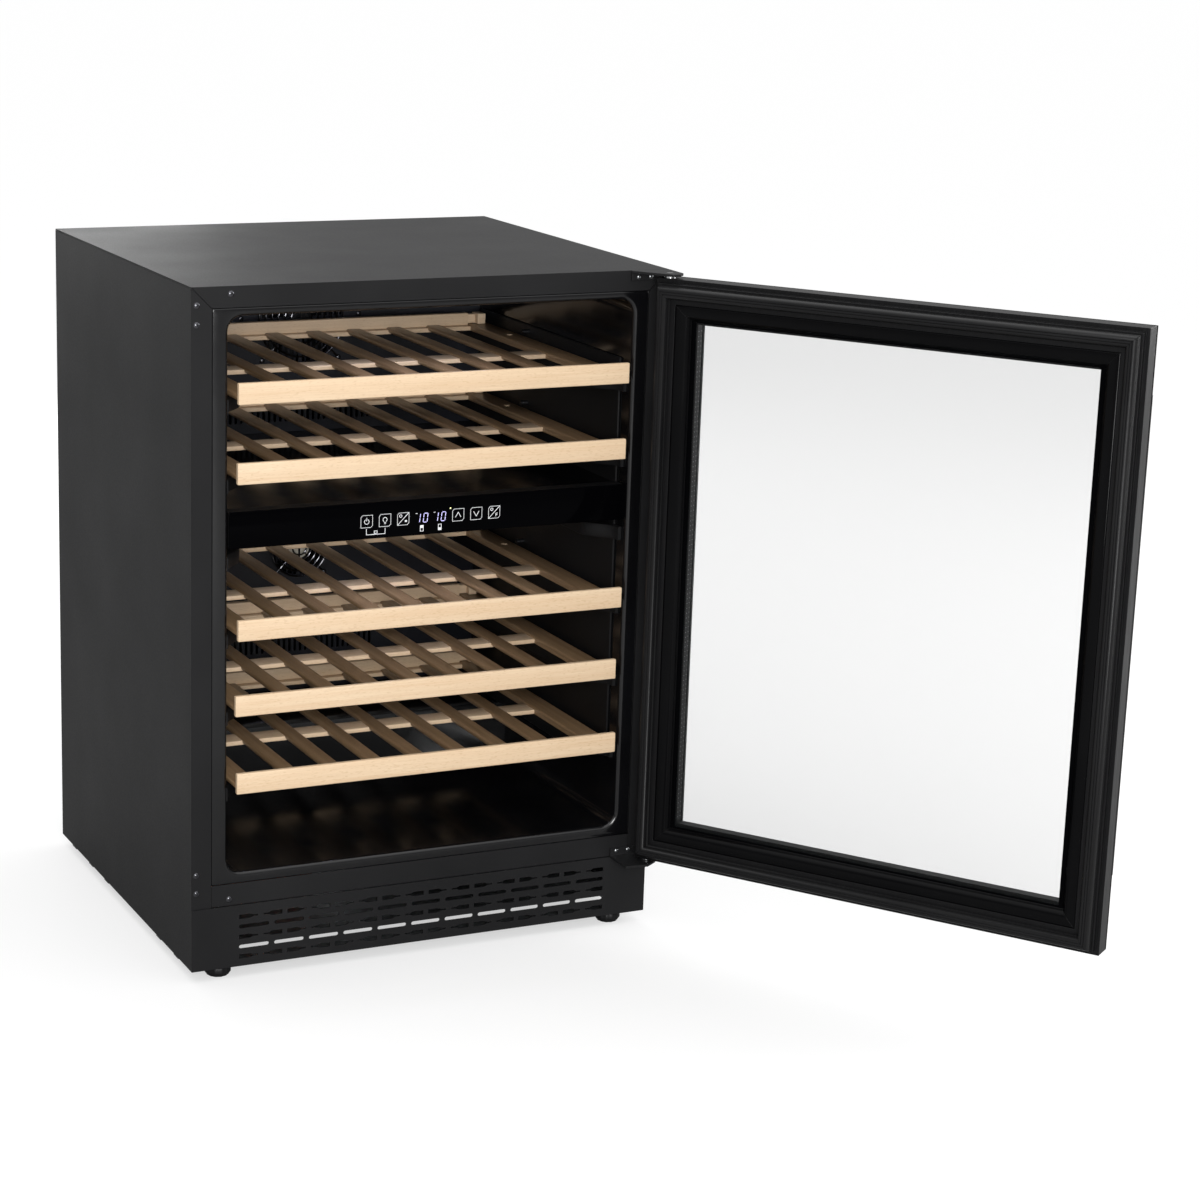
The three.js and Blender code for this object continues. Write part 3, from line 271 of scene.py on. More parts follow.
def bar(
    low: Sequence[float],
    high: Sequence[float],
    along: Axis,
    radius: float = 1.0,
    ease: float = 0.5,
    steps: int = 3,
) -> Surface:
    """A straight bar between two corners of its box. Its section is a rounded rectangle, and
    towards each end the section shrinks by ease along a quarter circle.

    Args:
        low: the lowest corner.
        high: the highest corner.
        along: the bar's direction.
        radius: the radius of its long edges.
        ease: how far its ends are eased, less than the radius.
        steps: chords per rounding.

    Returns:
        The closed bar.
    """
    start, stop = np.array(low, float), np.array(high, float)
    axis = along.value
    others = [k for k in range(3) if k != axis]
    half, centre = (stop - start) / 2, (stop + start) / 2
    radius = min(radius, 0.49 * float(half[others].min()) * 2)
    ease = min(ease, 0.9 * radius)
    turn = np.linspace(0, math.pi / 2, steps + 1)
    inset, travel = ease * (1 - np.sin(turn)), ease * (1 - np.cos(turn))
    stations = np.concatenate([start[axis] + travel, stop[axis] - travel[::-1]])
    radii = radius - np.concatenate([inset, inset[::-1]])
    signs, directions = rounded_outline(steps)
    hubs = centre[others] + signs * (half[others] - radius)
    rings = np.empty((len(stations), len(hubs), 3))
    rings[:, :, axis] = stations[:, None]
    rings[:, :, others] = hubs[None] + radii[:, None, None] * directions[None]
    return loft(rings)


def lathe(
    profile: Sequence[tuple[float, float]],
    centre: Sequence[float],
    axis: Axis,
    sides: int = 24,
    outward: float = 1.0,
    flutes: tuple[int, float] = (0, 0.0),
) -> Surface:
    """A profile of radius and height turned about an axis: radius times (cos, sin), height along it.

    Args:
        profile: radius and height pairs.
        centre: where height 0 lies on the axis.
        axis: the axis of the turn.
        sides: points per turn.
        outward: 1 where height runs along the axis, -1 against it.
        flutes: how many waves the radius has in a turn, and their share of the radius.

    Returns:
        The turned surface, capped at its ends.
    """
    shape = np.array(profile, float)
    angle = np.linspace(0, 2 * math.pi, sides, endpoint=False)
    count, share = flutes
    reach = shape[:, :1] * (1 + share * np.cos(count * angle))[None, :]
    others = [k for k in range(3) if k != axis.value]
    rings = np.empty((len(shape), sides, 3))
    rings[:, :, axis.value] = outward * shape[:, 1:]
    rings[:, :, others[0]] = reach * np.cos(angle)
    rings[:, :, others[1]] = reach * np.sin(angle)
    return loft(rings + np.array(centre, float))


def tube(path: Array, radius: float, closed: bool = False, sides: int = 8) -> Surface:
    """A round tube along a path. Each ring lies across the path's direction, with its first
    side vector the part of a fixed vector that is square to that direction.

    Args:
        path: the points that it follows.
        radius: the tube's radius.
        closed: whether the path is a loop.
        sides: points per ring.

    Returns:
        The tube, with its ends capped.
    """
    points = np.array(path, float)
    if closed:
        ahead = np.roll(points, -1, axis=0) - np.roll(points, 1, axis=0)
    else:
        ahead = np.gradient(points, axis=0)
    ahead /= np.linalg.norm(ahead, axis=1, keepdims=True)
    spread = np.ptp(points, axis=0)
    fixed = np.eye(3)[int(np.argmin(spread))]
    side = fixed - (ahead @ fixed)[:, None] * ahead
    side /= np.linalg.norm(side, axis=1, keepdims=True)
    up = np.cross(ahead, side)
    angle = np.linspace(0, 2 * math.pi, sides, endpoint=False)
    ring = np.cos(angle)[None, :, None] * side[:, None] + np.sin(angle)[None, :, None] * up[:, None]
    return loft(points[:, None] + radius * ring, closed=closed)


def prism(outline: Sequence[tuple[float, float]], along: Axis, start: float, stop: float) -> Surface:
    """A flat outline carried straight along an axis, closed at both ends.

    Args:
        outline: the outline's points in the two other directions.
        along: the axis.
        start: where it begins on the axis.
        stop: where it ends.

    Returns:
        The closed prism.
    """
    flat = np.array(outline, float)
    others = [k for k in range(3) if k != along.value]
    rings = np.empty((2, len(flat), 3))
    rings[:, :, along.value] = np.array([[start], [stop]])
    rings[:, :, others] = flat[None]
    return loft(rings)


def arc(
    centre: tuple[float, float], radius: float, start: float, stop: float, steps: int = 6
) -> list[tuple[float, float]]:
    """Points on a circle: the centre plus the radius times (cos, sin) of evenly spaced angles.

    Args:
        centre: the circle's centre.
        radius: its radius.
        start: the first angle in degrees.
        stop: the last angle.
        steps: how many chords there are.

    Returns:
        The points as pairs.
    """
    angle = np.radians(np.linspace(start, stop, steps + 1))
    points = np.array(centre) + radius * np.stack([np.cos(angle), np.sin(angle)], axis=1)
    return list(map(tuple, points.tolist()))


def circle_path(centre: Sequence[float], radius: float, axis: Axis, steps: int = 48) -> Array:
    """Points round a whole circle about an axis.

    Args:
        centre: the circle's centre.
        radius: its radius.
        axis: the axis that it goes round.
        steps: how many points there are.

    Returns:
        The points, a row each.
    """
    angle = np.linspace(0, 2 * math.pi, steps, endpoint=False)
    others = [k for k in range(3) if k != axis.value]
    points = np.tile(np.array(centre, float), (steps, 1))
    points[:, others[0]] += radius * np.cos(angle)
    points[:, others[1]] += radius * np.sin(angle)
    return points


def dome_screw(centre: Sequence[float], axis: Axis, outward: float, radius: float = 3.8) -> Surface:
    """A low domed screw head, 0.4 of its radius high, with a small round recess on top.

    Args:
        centre: the middle of its underside.
        axis: the screw's direction.
        outward: 1 where its top looks along the axis, -1 against it.
        radius: the head's radius.

    Returns:
        The head.
    """
    rise = 0.4 * radius
    profile = [
        (0.0, rise * 0.45), (radius * 0.26, rise * 0.45), (radius * 0.32, rise * 0.97),
        (radius * 0.62, rise * 0.82), (radius * 0.86, rise * 0.5), (radius, rise * 0.12),
        (radius, 0.0), (0.0, 0.0),
    ]
    return lathe(profile, centre, axis, sides=14, outward=outward)


# ------------------------------------------------------------------ finishes


def linear(colour: str, alpha: float = 1.0) -> tuple[float, float, float, float]:
    """Turns an sRGB hex colour into a linear one: v / 12.92 up to 0.04045, and past it
    ((v + 0.055) / 1.055) to the power 2.4.

    Args:
        colour: the hex colour.
        alpha: its alpha.

    Returns:
        Linear red, green and blue, and alpha.
    """
    values = np.array([int(colour[k : k + 2], 16) for k in (1, 3, 5)]) / 255
    low, high = values / 12.92, ((values + 0.055) / 1.055) ** 2.4
    red, green, blue = np.where(values <= 0.04045, low, high).tolist()
    return red, green, blue, alpha


def add_node(
    tree: Tree,
    kind: str,
    inputs: Mapping[str | int, Any] | None = None,
    **settings: Any,
) -> Node:
    """Adds a node to a tree.

    Args:
        tree: the node tree.
        kind: the node's type.
        inputs: for each input, its value, or the output socket that feeds it.
        settings: the node's own settings.

    Returns:
        The node.
    """
    node = tree.nodes.new(kind)
    for name, value in settings.items():
        setattr(node, name, value)
    for key, value in (inputs or {}).items():
        if isinstance(value, bpy.types.NodeSocket):
            tree.links.new(value, node.inputs[key])
        else:
            node.inputs[key].default_value = value
    return node


def per_metre(millimetres: float) -> float:
    """The texture scale whose features are about this many millimetres across."""
    return 1 / (millimetres * MM)


# The levels between which nearly all of a noise lies.
NOISE_RANGE: dict[str, float] = {"From Min": 0.3, "From Max": 0.7}


@dataclass(frozen=True)
class Finish:
    """What a surface is made of and how it was made. Each kind adds its own pattern.

    Attributes:
        name: the material's name.
        slot: the record's slot it belongs to.
        colour: the base colour, sRGB hex.
        roughness: the shader's roughness.
        metallic: 1 for bare metal.
        gloss: the shader's specular level, 0.5 for a bare dielectric.
    """

    name: str
    slot: Slot
    colour: str
    roughness: float
    metallic: float = 0.0
    gloss: float = 0.5

    def material(self) -> bpy.types.Material:
        """The finish as a material, made once.

        Returns:
            The material.
        """
        found = bpy.data.materials.get(self.name)
        if found:
            return found
        made = bpy.data.materials.new(self.name)
        made.use_nodes = True
        tree = made.node_tree
        tree.nodes.clear()
        shader = add_node(
            tree,
            "ShaderNodeBsdfPrincipled",
            {
                "Base Color": linear(self.colour),
                "Roughness": self.roughness,
                "Metallic": self.metallic,
                "Specular IOR Level": self.gloss,
            },
        )
        place = add_node(tree, "ShaderNodeTexCoord").outputs["Object"]
        self.dress(tree, shader, place)
        add_node(tree, "ShaderNodeOutputMaterial", {"Surface": shader.outputs["BSDF"]})
        return made

    def dress(self, tree: Tree, shader: Node, place: Any) -> None:
        """Adds the pattern. The plain finish has none.

        Args:
            tree: the material's node tree.
            shader: its shader.
            place: the point's Object coordinates.
        """

    def tint(self, tree: Tree, target: Any, factor: Any, tones: tuple[str, str]) -> None:
        """Lets a colour go from one tone to another by a factor.

        Args:
            tree: the material's node tree.
            target: the socket that the colour feeds.
            factor: 0 for the first tone, 1 for the second.
            tones: both tones, sRGB hex.
        """
        mix = {"Factor": factor, "A": linear(tones[0]), "B": linear(tones[1])}
        mixed = add_node(tree, "ShaderNodeMix", mix, data_type="RGBA")
        tree.links.new(mixed.outputs["Result"], target)

    def roughen(self, tree: Tree, shader: Node, value: Any, swing: float) -> None:
        """Lets the roughness wander by a swing to each side, as a noise goes from 0.3 to 0.7.

        Args:
            tree: the material's node tree.
            shader: its shader.
            value: the noise.
            swing: how far the roughness goes down and up.
        """
        low, high = self.roughness - swing, self.roughness + swing
        levels = {**NOISE_RANGE, "Value": value, "To Min": low, "To Max": high}
        rough = add_node(tree, "ShaderNodeMapRange", levels)
        tree.links.new(rough.outputs["Result"], shader.inputs["Roughness"])

    def emboss(self, tree: Tree, shader: Node, height: Any, depth: float) -> None:
        """Raises the surface by a height from 0 to 1, times a depth.

        Args:
            tree: the material's node tree.
            shader: its shader.
            height: the height.
            depth: the depth in millimetres.
        """
        relief = {"Height": height, "Distance": depth * MM, "Strength": 1.0}
        bump = add_node(tree, "ShaderNodeBump", relief)
        tree.links.new(bump.outputs["Normal"], shader.inputs["Normal"])


@dataclass(frozen=True)
class Grained(Finish):
    """A surface with a fine even grain, such as powder coat or spark-eroded moulding, over a
    slow unevenness a hand's breadth across.

    Attributes:
        grain: the grain's size in millimetres, drawn no finer than the render can show.
        depth: the grain's depth in millimetres.
        light: the lighter tone of the slow unevenness.
        coat: a clear top gloss.
        breadth: the size of the slow unevenness in millimetres.
    """

    grain: float = 1.4
    depth: float = 0.03
    light: str = "#303031"
    coat: float = 0.0
    breadth: float = 140.0

    def dress(self, tree: Tree, shader: Node, place: Any) -> None:
        """Grain in the bump, grain and slow unevenness in the roughness and colour.

        Args:
            tree: the material's node tree.
            shader: its shader.
            place: the point's Object coordinates.
        """
        noises = [
            {"Vector": place, "Scale": per_metre(size), "Detail": detail}
            for size, detail in ((self.grain, 3.0), (self.breadth, 2.0))
        ]
        fine, slow = (add_node(tree, "ShaderNodeTexNoise", noise).outputs["Fac"] for noise in noises)
        share = add_node(tree, "ShaderNodeMapRange", {**NOISE_RANGE, "Value": slow})
        tones = (self.colour, self.light)
        self.tint(tree, shader.inputs["Base Color"], share.outputs["Result"], tones)
        both = add_node(tree, "ShaderNodeMath", {0: fine, 1: slow}, operation="ADD")
        total = {0: both.outputs["Value"], 1: 0.5}
        half = add_node(tree, "ShaderNodeMath", total, operation="MULTIPLY")
        self.roughen(tree, shader, half.outputs["Value"], 0.07)
        self.emboss(tree, shader, fine, self.depth)
        shader.inputs["Coat Weight"].default_value = self.coat


@dataclass(frozen=True)
class Timber(Finish):
    """Clear-lacquered beech: a fine straight grain with short dark flecks.

    Attributes:
        along: the way the grain runs.
        light: the pale early wood.
        fleck: the colour of the ray flecks.
        ring: the spacing of the growth rings in millimetres.
        fleck_length: the length of a fleck in millimetres.
        lacquer: how much clear lacquer lies on it.
        lacquer_roughness: the lacquer's roughness.
    """

    along: Axis = Axis.X
    light: str = "#e2cbad"
    fleck: str = "#b39168"
    ring: float = 5.0
    fleck_length: float = 5.0
    lacquer: float = 0.12
    lacquer_roughness: float = 0.25

    def streaks(self, tree: Tree, place: Any, width: float, length: float, detail: float) -> Any:
        """A noise drawn out along the grain.

        Args:
            tree: the material's node tree.
            place: the point's Object coordinates.
            width: a streak's width in millimetres.
            length: a streak's length in millimetres.
            detail: how much finer noise lies on it.

        Returns:
            The noise's socket.
        """
        scale = [per_metre(width)] * 3
        scale[self.along.value] = per_metre(length)
        stretched = add_node(tree, "ShaderNodeMapping", {"Vector": place, "Scale": scale})
        vector = stretched.outputs["Vector"]
        noise = {"Vector": vector, "Scale": 1.0, "Detail": detail, "Distortion": 0.3}
        return add_node(tree, "ShaderNodeTexNoise", noise).outputs["Fac"]

    def dress(self, tree: Tree, shader: Node, place: Any) -> None:
        """Growth rings, patches, flecks and fibres, one laid over the other: each goes from the
        tone so far to its own, by its noise's level times its share.

        Args:
            tree: the material's node tree.
            shader: its shader.
            place: the point's Object coordinates.
        """
        rings = self.streaks(tree, place, self.ring, 260.0, 3.0)
        fibre = self.streaks(tree, place, 0.9, 45.0, 2.0)
        flecks = self.streaks(tree, place, 1.1, self.fleck_length, 0.0)
        patches = add_node(
            tree, "ShaderNodeTexNoise", {"Vector": place, "Scale": per_metre(90.0), "Detail": 2.0}
        ).outputs["Fac"]
        layers = (
            (rings, 0.3, 0.7, 1.0, self.light),
            (patches, 0.3, 0.7, 0.35, self.colour),
            (flecks, 0.62, 0.76, 0.28, self.fleck),
            (fibre, 0.3, 0.7, 0.22, self.fleck),
        )
        tone: Any = linear(self.colour)
        for noise, low, high, share, colour in layers:
            levels = {"Value": noise, "From Min": low, "From Max": high, "To Max": share}
            factor = add_node(tree, "ShaderNodeMapRange", levels).outputs["Result"]
            tones = {"Factor": factor, "A": tone, "B": linear(colour)}
            tone = add_node(tree, "ShaderNodeMix", tones, data_type="RGBA").outputs["Result"]
        tree.links.new(tone, shader.inputs["Base Color"])
        self.roughen(tree, shader, fibre, 0.08)
        self.emboss(tree, shader, fibre, 0.04)
        shader.inputs["Coat Weight"].default_value = self.lacquer
        shader.inputs["Coat Roughness"].default_value = self.lacquer_roughness


@dataclass(frozen=True)
class Brushed(Finish):
    """Drawn or rolled metal: fine lines along one axis.

    Attributes:
        along: the way the lines run.
        line: the lines' width in millimetres.
        light: the lighter tone between lines.
        stretch: how many times longer than wide a line is.
    """

    along: Axis = Axis.Z
    line: float = 1.0
    light: str = "#3a3a3b"
    stretch: float = 60.0

    def dress(self, tree: Tree, shader: Node, place: Any) -> None:
        """Lines in the roughness and the bump, and faintly in the colour.

        Args:
            tree: the material's node tree.
            shader: its shader.
            place: the point's Object coordinates.
        """
        scale = [per_metre(self.line)] * 3
        scale[self.along.value] = per_metre(self.line * self.stretch)
        drawn = add_node(tree, "ShaderNodeMapping", {"Vector": place, "Scale": scale})
        lines = add_node(
            tree,
            "ShaderNodeTexNoise",
            {"Vector": drawn.outputs["Vector"], "Scale": 1.0, "Detail": 2.0},
        ).outputs["Fac"]
        share = add_node(tree, "ShaderNodeMapRange", {**NOISE_RANGE, "Value": lines})
        tones = (self.colour, self.light)
        self.tint(tree, shader.inputs["Base Color"], share.outputs["Result"], tones)
        self.roughen(tree, shader, lines, 0.08)
        self.emboss(tree, shader, lines, 0.008)


@dataclass(frozen=True)
class Galvanised(Finish):
    """Hot-dipped sheet: zinc crystals some millimetres across, each with its own sheen.

    Attributes:
        spangle: the crystals' size in millimetres.
        light: the brightest crystals' colour.
    """

    spangle: float = 6.5
    light: str = "#8f9395"

    def dress(self, tree: Tree, shader: Node, place: Any) -> None:
        """Cells of differing tone and roughness, under a fine frost.

        Args:
            tree: the material's node tree.
            shader: its shader.
            place: the point's Object coordinates.
        """
        cells = add_node(
            tree, "ShaderNodeTexVoronoi", {"Vector": place, "Scale": per_metre(self.spangle)}
        )
        value = add_node(
            tree, "ShaderNodeSeparateColor", {"Color": cells.outputs["Color"]}
        ).outputs["Red"]
        self.tint(tree, shader.inputs["Base Color"], value, (self.colour, self.light))
        levels = {"Value": value, "To Min": self.roughness - 0.03, "To Max": self.roughness + 0.07}
        rough = add_node(tree, "ShaderNodeMapRange", levels)
        tree.links.new(rough.outputs["Result"], shader.inputs["Roughness"])
        frost = add_node(
            tree, "ShaderNodeTexNoise", {"Vector": place, "Scale": per_metre(2.0), "Detail": 2.0}
        )
        self.emboss(tree, shader, frost.outputs["Fac"], 0.01)


@dataclass(frozen=True)
class ClearGlass(Finish):
    """Float glass that lets nearly all light by, with more gloss at a glancing angle.

    Attributes:
        least: the share of light that it keeps straight on.
        most: the share that it keeps at a glancing angle.
    """

    least: float = 0.06
    most: float = 0.9

    def dress(self, tree: Tree, shader: Node, place: Any) -> None:
        """The share that it keeps grows with the Fresnel reflection; faint smears in the gloss.

        Args:
            tree: the material's node tree.
            shader: its shader.
            place: the point's Object coordinates.
        """
        glancing = add_node(tree, "ShaderNodeFresnel", {"IOR": 1.5}).outputs["Fac"]
        levels = {"Value": glancing, "From Min": 0.04, "To Min": self.least, "To Max": self.most}
        share = add_node(tree, "ShaderNodeMapRange", levels)
        tree.links.new(share.outputs["Result"], shader.inputs["Alpha"])
        smears = add_node(
            tree, "ShaderNodeTexNoise", {"Vector": place, "Scale": per_metre(60.0), "Detail": 3.0}
        ).outputs["Fac"]
        low, high = self.roughness, self.roughness + 0.03
        levels = {**NOISE_RANGE, "Value": smears, "To Min": low, "To Max": high}
        rough = add_node(tree, "ShaderNodeMapRange", levels)
        tree.links.new(rough.outputs["Result"], shader.inputs["Roughness"])


@dataclass(frozen=True)
class Glowing(Finish):
    """A printed or lit mark that gives off light of its own.

    Attributes:
        strength: how strongly it glows.
    """

    strength: float = 1.0

    def dress(self, tree: Tree, shader: Node, place: Any) -> None:
        """The glow in the mark's own colour, a little uneven as a lit diffuser is.

        Args:
            tree: the material's node tree.
            shader: its shader.
            place: the point's Object coordinates.
        """
        cloud = add_node(
            tree, "ShaderNodeTexNoise", {"Vector": place, "Scale": per_metre(2.0), "Detail": 2.0}
        ).outputs["Fac"]
        self.tint(tree, shader.inputs["Emission Color"], cloud, (self.colour, "#ffffff"))
        shader.inputs["Emission Strength"].default_value = self.strength


@dataclass(frozen=True)
class Paper(Finish):
    """A studio floor of matte paper, lit from below as well as from above.

    Attributes:
        glow: its own light where it is seen directly.
        bounce: the colour of the light that it throws back on the object.
    """

    glow: float = 0.56
    bounce: str = "#9a9a9a"

    def dress(self, tree: Tree, shader: Node, place: Any) -> None:
        """White where seen directly, grey where it only lights the object, with a faint tooth.

        Args:
            tree: the material's node tree.
            shader: its shader.
            place: the point's Object coordinates.
        """
        direct = add_node(tree, "ShaderNodeLightPath").outputs["Is Camera Ray"]
        self.tint(tree, shader.inputs["Base Color"], direct, (self.bounce, self.colour))
        self.tint(tree, shader.inputs["Emission Color"], direct, ("#000000", "#ffffff"))
        shader.inputs["Emission Strength"].default_value = self.glow
        tooth = add_node(
            tree, "ShaderNodeTexNoise", {"Vector": place, "Scale": per_metre(4.0), "Detail": 2.0}
        ).outputs["Fac"]
        self.roughen(tree, shader, tooth, 0.05)


# Polyester powder coat on steel sheet: matte black with a fine, slightly open grain.
POWDER_COAT = Grained(
    "powder_coated_steel", Slot.PAINTED_STEEL, "#171718", 0.5, gloss=0.16, grain=1.5, light="#1d1d1e"
)
# High-gloss polystyrene, vacuum-formed: deep black, soft reflections, faint ripples.
LINER_GLOSS = Grained(
    "gloss_polystyrene", Slot.LINER, "#070708", 0.16, gloss=0.55, grain=45.0, depth=0.25, light="#0c0c0e"
)
# ABS moulded in a spark-eroded tool: an even orange-peel, dark with a blue cast.
DUCT_ABS = Grained(
    "textured_abs", Slot.DUCT, "#0f1015", 0.4, gloss=0.4, grain=2.2, depth=0.25, light="#171922"
)
# Plain ABS mouldings: satin black with a faint grain.
SATIN_ABS = Grained(
    "satin_abs", Slot.MATTE_PLASTIC, "#101011", 0.45, gloss=0.25, grain=1.2, light="#161617"
)
# Support mouldings: the same plastic, a touch darker and duller all over: painted shade for the ledges that
# sit deep in the liner.
SHADED_SUPPORT_ABS = Grained(
    "shaded_support_abs", Slot.MATTE_PLASTIC, "#0e0e0f", 0.5, gloss=0.2, grain=1.6, depth=0.05, light="#151516"
)
# Beech with its grain across the cabinet: front boards, rear stops and crossbars.
BEECH_ACROSS = Timber("lacquered_beech_across", Slot.BEECH, "#d9bd9c", 0.42, gloss=0.35)
# Beech with its grain front to back: slats and side rails, a little browner.
BEECH_ALONG = Timber(
    "lacquered_beech_along", Slot.BEECH, "#735b43", 0.36, gloss=0.4, along=Axis.Y, light="#93795b"
)
# Black anodised aluminium, drawn through a die: fine lines along each member.
ANODISED_UPRIGHT = Brushed(
    "anodised_aluminium", Slot.BLACK_ALUMINIUM, "#121213", 0.38, metallic=0.3, gloss=0.2, light="#181819"
)
# The inner trim is black PVC, smooth from the die.
TRIM_PVC = Grained(
    "extruded_pvc", Slot.MATTE_PLASTIC, "#050506", 0.12, gloss=0.09, grain=60.0, light="#080809"
)
# Soft magnetic seal: matte black plasticised vinyl.
GASKET_VINYL = Grained(
    "soft_vinyl", Slot.GASKET, "#0d0d0e", 0.42, gloss=0.25, grain=1.8, light="#121213"
)
# Toughened glass printed black on its back: a deep even gloss.
PRINTED_GLASS = Grained(
    "printed_glass", Slot.BLACK_GLASS, "#020203", 0.05, gloss=0.02, grain=80.0, depth=0.02, light="#030304"
)
# Float glass: clear and nearly colourless, with a sharp weak reflection.
CLEAR_PANE = ClearGlass("float_glass", Slot.CLEAR_GLASS, "#2c3030", 0.01, gloss=0.5)
# Chrome plate on steel: near-mirror, faintly uneven.
CHROME_WIRE = Grained(
    "chrome_plate", Slot.CHROME, "#d5d6d8", 0.14, metallic=1.0, grain=9.0, depth=0.01, light="#e4e5e6"
)
# Guard wire: black nickel, dark with sharp glints.
DARK_WIRE = Grained(
    "black_nickel_wire", Slot.CHROME, "#48484b", 0.16, metallic=1.0, grain=9.0, depth=0.01, light="#5c5c60"
)
# The lower fan's motor face: cream ABS, pale and satin in the dark duct.
CREAM_ABS = Grained("cream_abs", Slot.MATTE_PLASTIC, "#c9c3b4", 0.4, grain=1.6, light="#d6d1c4")
# Screws in the brackets: bright zinc plate, which glints.
BRIGHT_SCREW = Grained(
    "zinc_plated_steel", Slot.CHROME, "#8e9092", 0.3, metallic=1.0, grain=1.1, light="#a2a4a6"
)
# Screws in the sheets: zinc-plated and blackened, dark with a small glint.
BLACKENED = Grained(
    "blackened_steel", Slot.CHROME, "#4a4a4d", 0.22, metallic=0.9, grain=2.4, depth=0.01, light="#5a5a5e"
)
# Hot-dip galvanised sheet: pale grey metal with fine crystals.
ZINC_SHEET = Galvanised("galvanised_sheet", Slot.GALVANISED, "#7d8284", 0.42, metallic=0.85)
# Drawn copper tube: warm metal with a soft dull gloss.
COPPER_TUBE = Grained(
    "drawn_copper", Slot.COPPER, "#b0663c", 0.3, metallic=1.0, grain=6.0, light="#c27a4c"
)
# Rolled aluminium as it leaves the mill: light metal with faint lines.
MILL_ALUMINIUM = Brushed(
    "rolled_aluminium", Slot.ALUMINIUM, "#a9acae", 0.34, metallic=1.0, along=Axis.X, light="#bdc0c2"
)
# Spacer bar: black-coated aluminium, half dull.
SPACER_METAL = Brushed(
    "black_spacer_bar", Slot.ALUMINIUM, "#131314", 0.4, metallic=0.4, gloss=0.3, light="#1b1b1c"
)
# Stoved enamel on cast iron: black with a wet top gloss.
IRON_ENAMEL = Grained(
    "stoved_enamel", Slot.IRON, "#0e0e0f", 0.28, grain=14.0, depth=0.06, light="#141415", coat=0.4
)
# Milky polycarbonate: a pale lens that hides its lamps.
LAMP_LENS = Grained("milky_polycarbonate", Slot.LAMP, "#dfe4e6", 0.35, grain=3.0, light="#eef1f2")
# White symbols printed on the glass, lit from behind.
SYMBOL_INK = Glowing("symbol_print", Slot.LAMP, "#c4c5c8", 0.5, gloss=0.1, strength=0.5)
# Digits of a cold violet-white display.
DIGIT_GLOW = Glowing("digit_segments", Slot.LAMP, "#a39cdd", 0.5, gloss=0.1, strength=0.8)
# Floor: white backdrop paper, bright to the eye and dim in the object's gloss.
BACKDROP = Paper("backdrop_paper", Slot.MATTE_PLASTIC, "#a2a2a2", 0.9, gloss=0.0)
# The ready light: a small yellow-green diode.
READY_GLOW = Glowing("ready_dot", Slot.LAMP, "#d9e08a", 0.5, strength=0.7)


# ------------------------------------------------------------------ making pieces


def dress(node: str, finish: Finish) -> None:
    """Gives a CAD node that stays in sight its material.

    Args:
        node: the node's name.
        finish: its finish.
    """
    piece = frame["nodes"][node]
    piece.data.materials.clear()
    piece.data.materials.append(finish.material())
    LOG.info("%s dressed as %s", node, finish.name)


def settle(piece: Piece, finish: Finish, body: str, replaces: Sequence[str]) -> None:
    """Dresses a new piece, makes it ride on its body, and logs it.

    Args:
        piece: the piece.
        finish: its finish.
        body: the body it rides on.
        replaces: the CAD nodes it stands for.
    """
    piece.data.materials.clear()
    piece.data.materials.append(finish.material())
    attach(piece, body)
    if replaces:
        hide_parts(*replaces)
    LOG.info("%s: %d points, on %s", piece.name, len(piece.data.vertices), body)


def soften(piece: Piece, edge: float, steps: int = 2) -> None:
    """Rounds a piece's sharp edges.

    Args:
        piece: the piece.
        edge: the rounding's width in millimetres.
        steps: how many faces go round it.
    """
    rounding = piece.modifiers.new("eased_edges", "BEVEL")
    rounding.width = edge * MM
    rounding.segments = steps
    rounding.limit_method = "ANGLE"
    rounding.angle_limit = math.radians(40)
    rounding.harden_normals = True


def shade(mesh: bpy.types.Mesh, angle: float) -> None:
    """Smooth shading, kept sharp past an angle in degrees."""
    mesh.shade_smooth()
    mesh.set_sharp_from_angle(angle=math.radians(angle))


def piece_from(
    name: str,
    surface: Surface,
    finish: Finish,
    body: str,
    replaces: Sequence[str] = (),
    edge: float = 0.0,
    wall: float = 0.0,
    angle: float = 40.0,
    on_door: bool = False,
) -> Piece:
    """Makes a piece from a surface.

    Args:
        name: the piece's name.
        surface: its shape in cabinet millimetres.
        finish: its finish.
        body: the body it rides on.
        replaces: the CAD nodes it stands for.
        edge: the width of its eased edges in millimetres, if any.
        wall: the wall thickness that an open shell gets, if any.
        angle: the angle past which an edge stays sharp.
        on_door: whether the surface is worked out on the shut door.

    Returns:
        The piece.
    """
    points = DATUM.to_frame(surface.points)
    if on_door:
        points = DATUM.turned(points, DATUM.opening)
    mesh = bpy.data.meshes.new(name)
    mesh.from_pydata(points.tolist(), [], surface.faces)
    work = bmesh.new()
    work.from_mesh(mesh)
    bmesh.ops.remove_doubles(work, verts=work.verts, dist=1e-6)
    bmesh.ops.recalc_face_normals(work, faces=work.faces)
    work.to_mesh(mesh)
    work.free()
    shade(mesh, angle)
    piece = bpy.data.objects.new(name, mesh)
    bpy.context.scene.collection.objects.link(piece)
    if wall:
        shell = piece.modifiers.new("wall", "SOLIDIFY")
        shell.thickness = wall * MM
        shell.offset = -1.0
    if edge:
        soften(piece, edge)
    settle(piece, finish, body, replaces)
    return piece


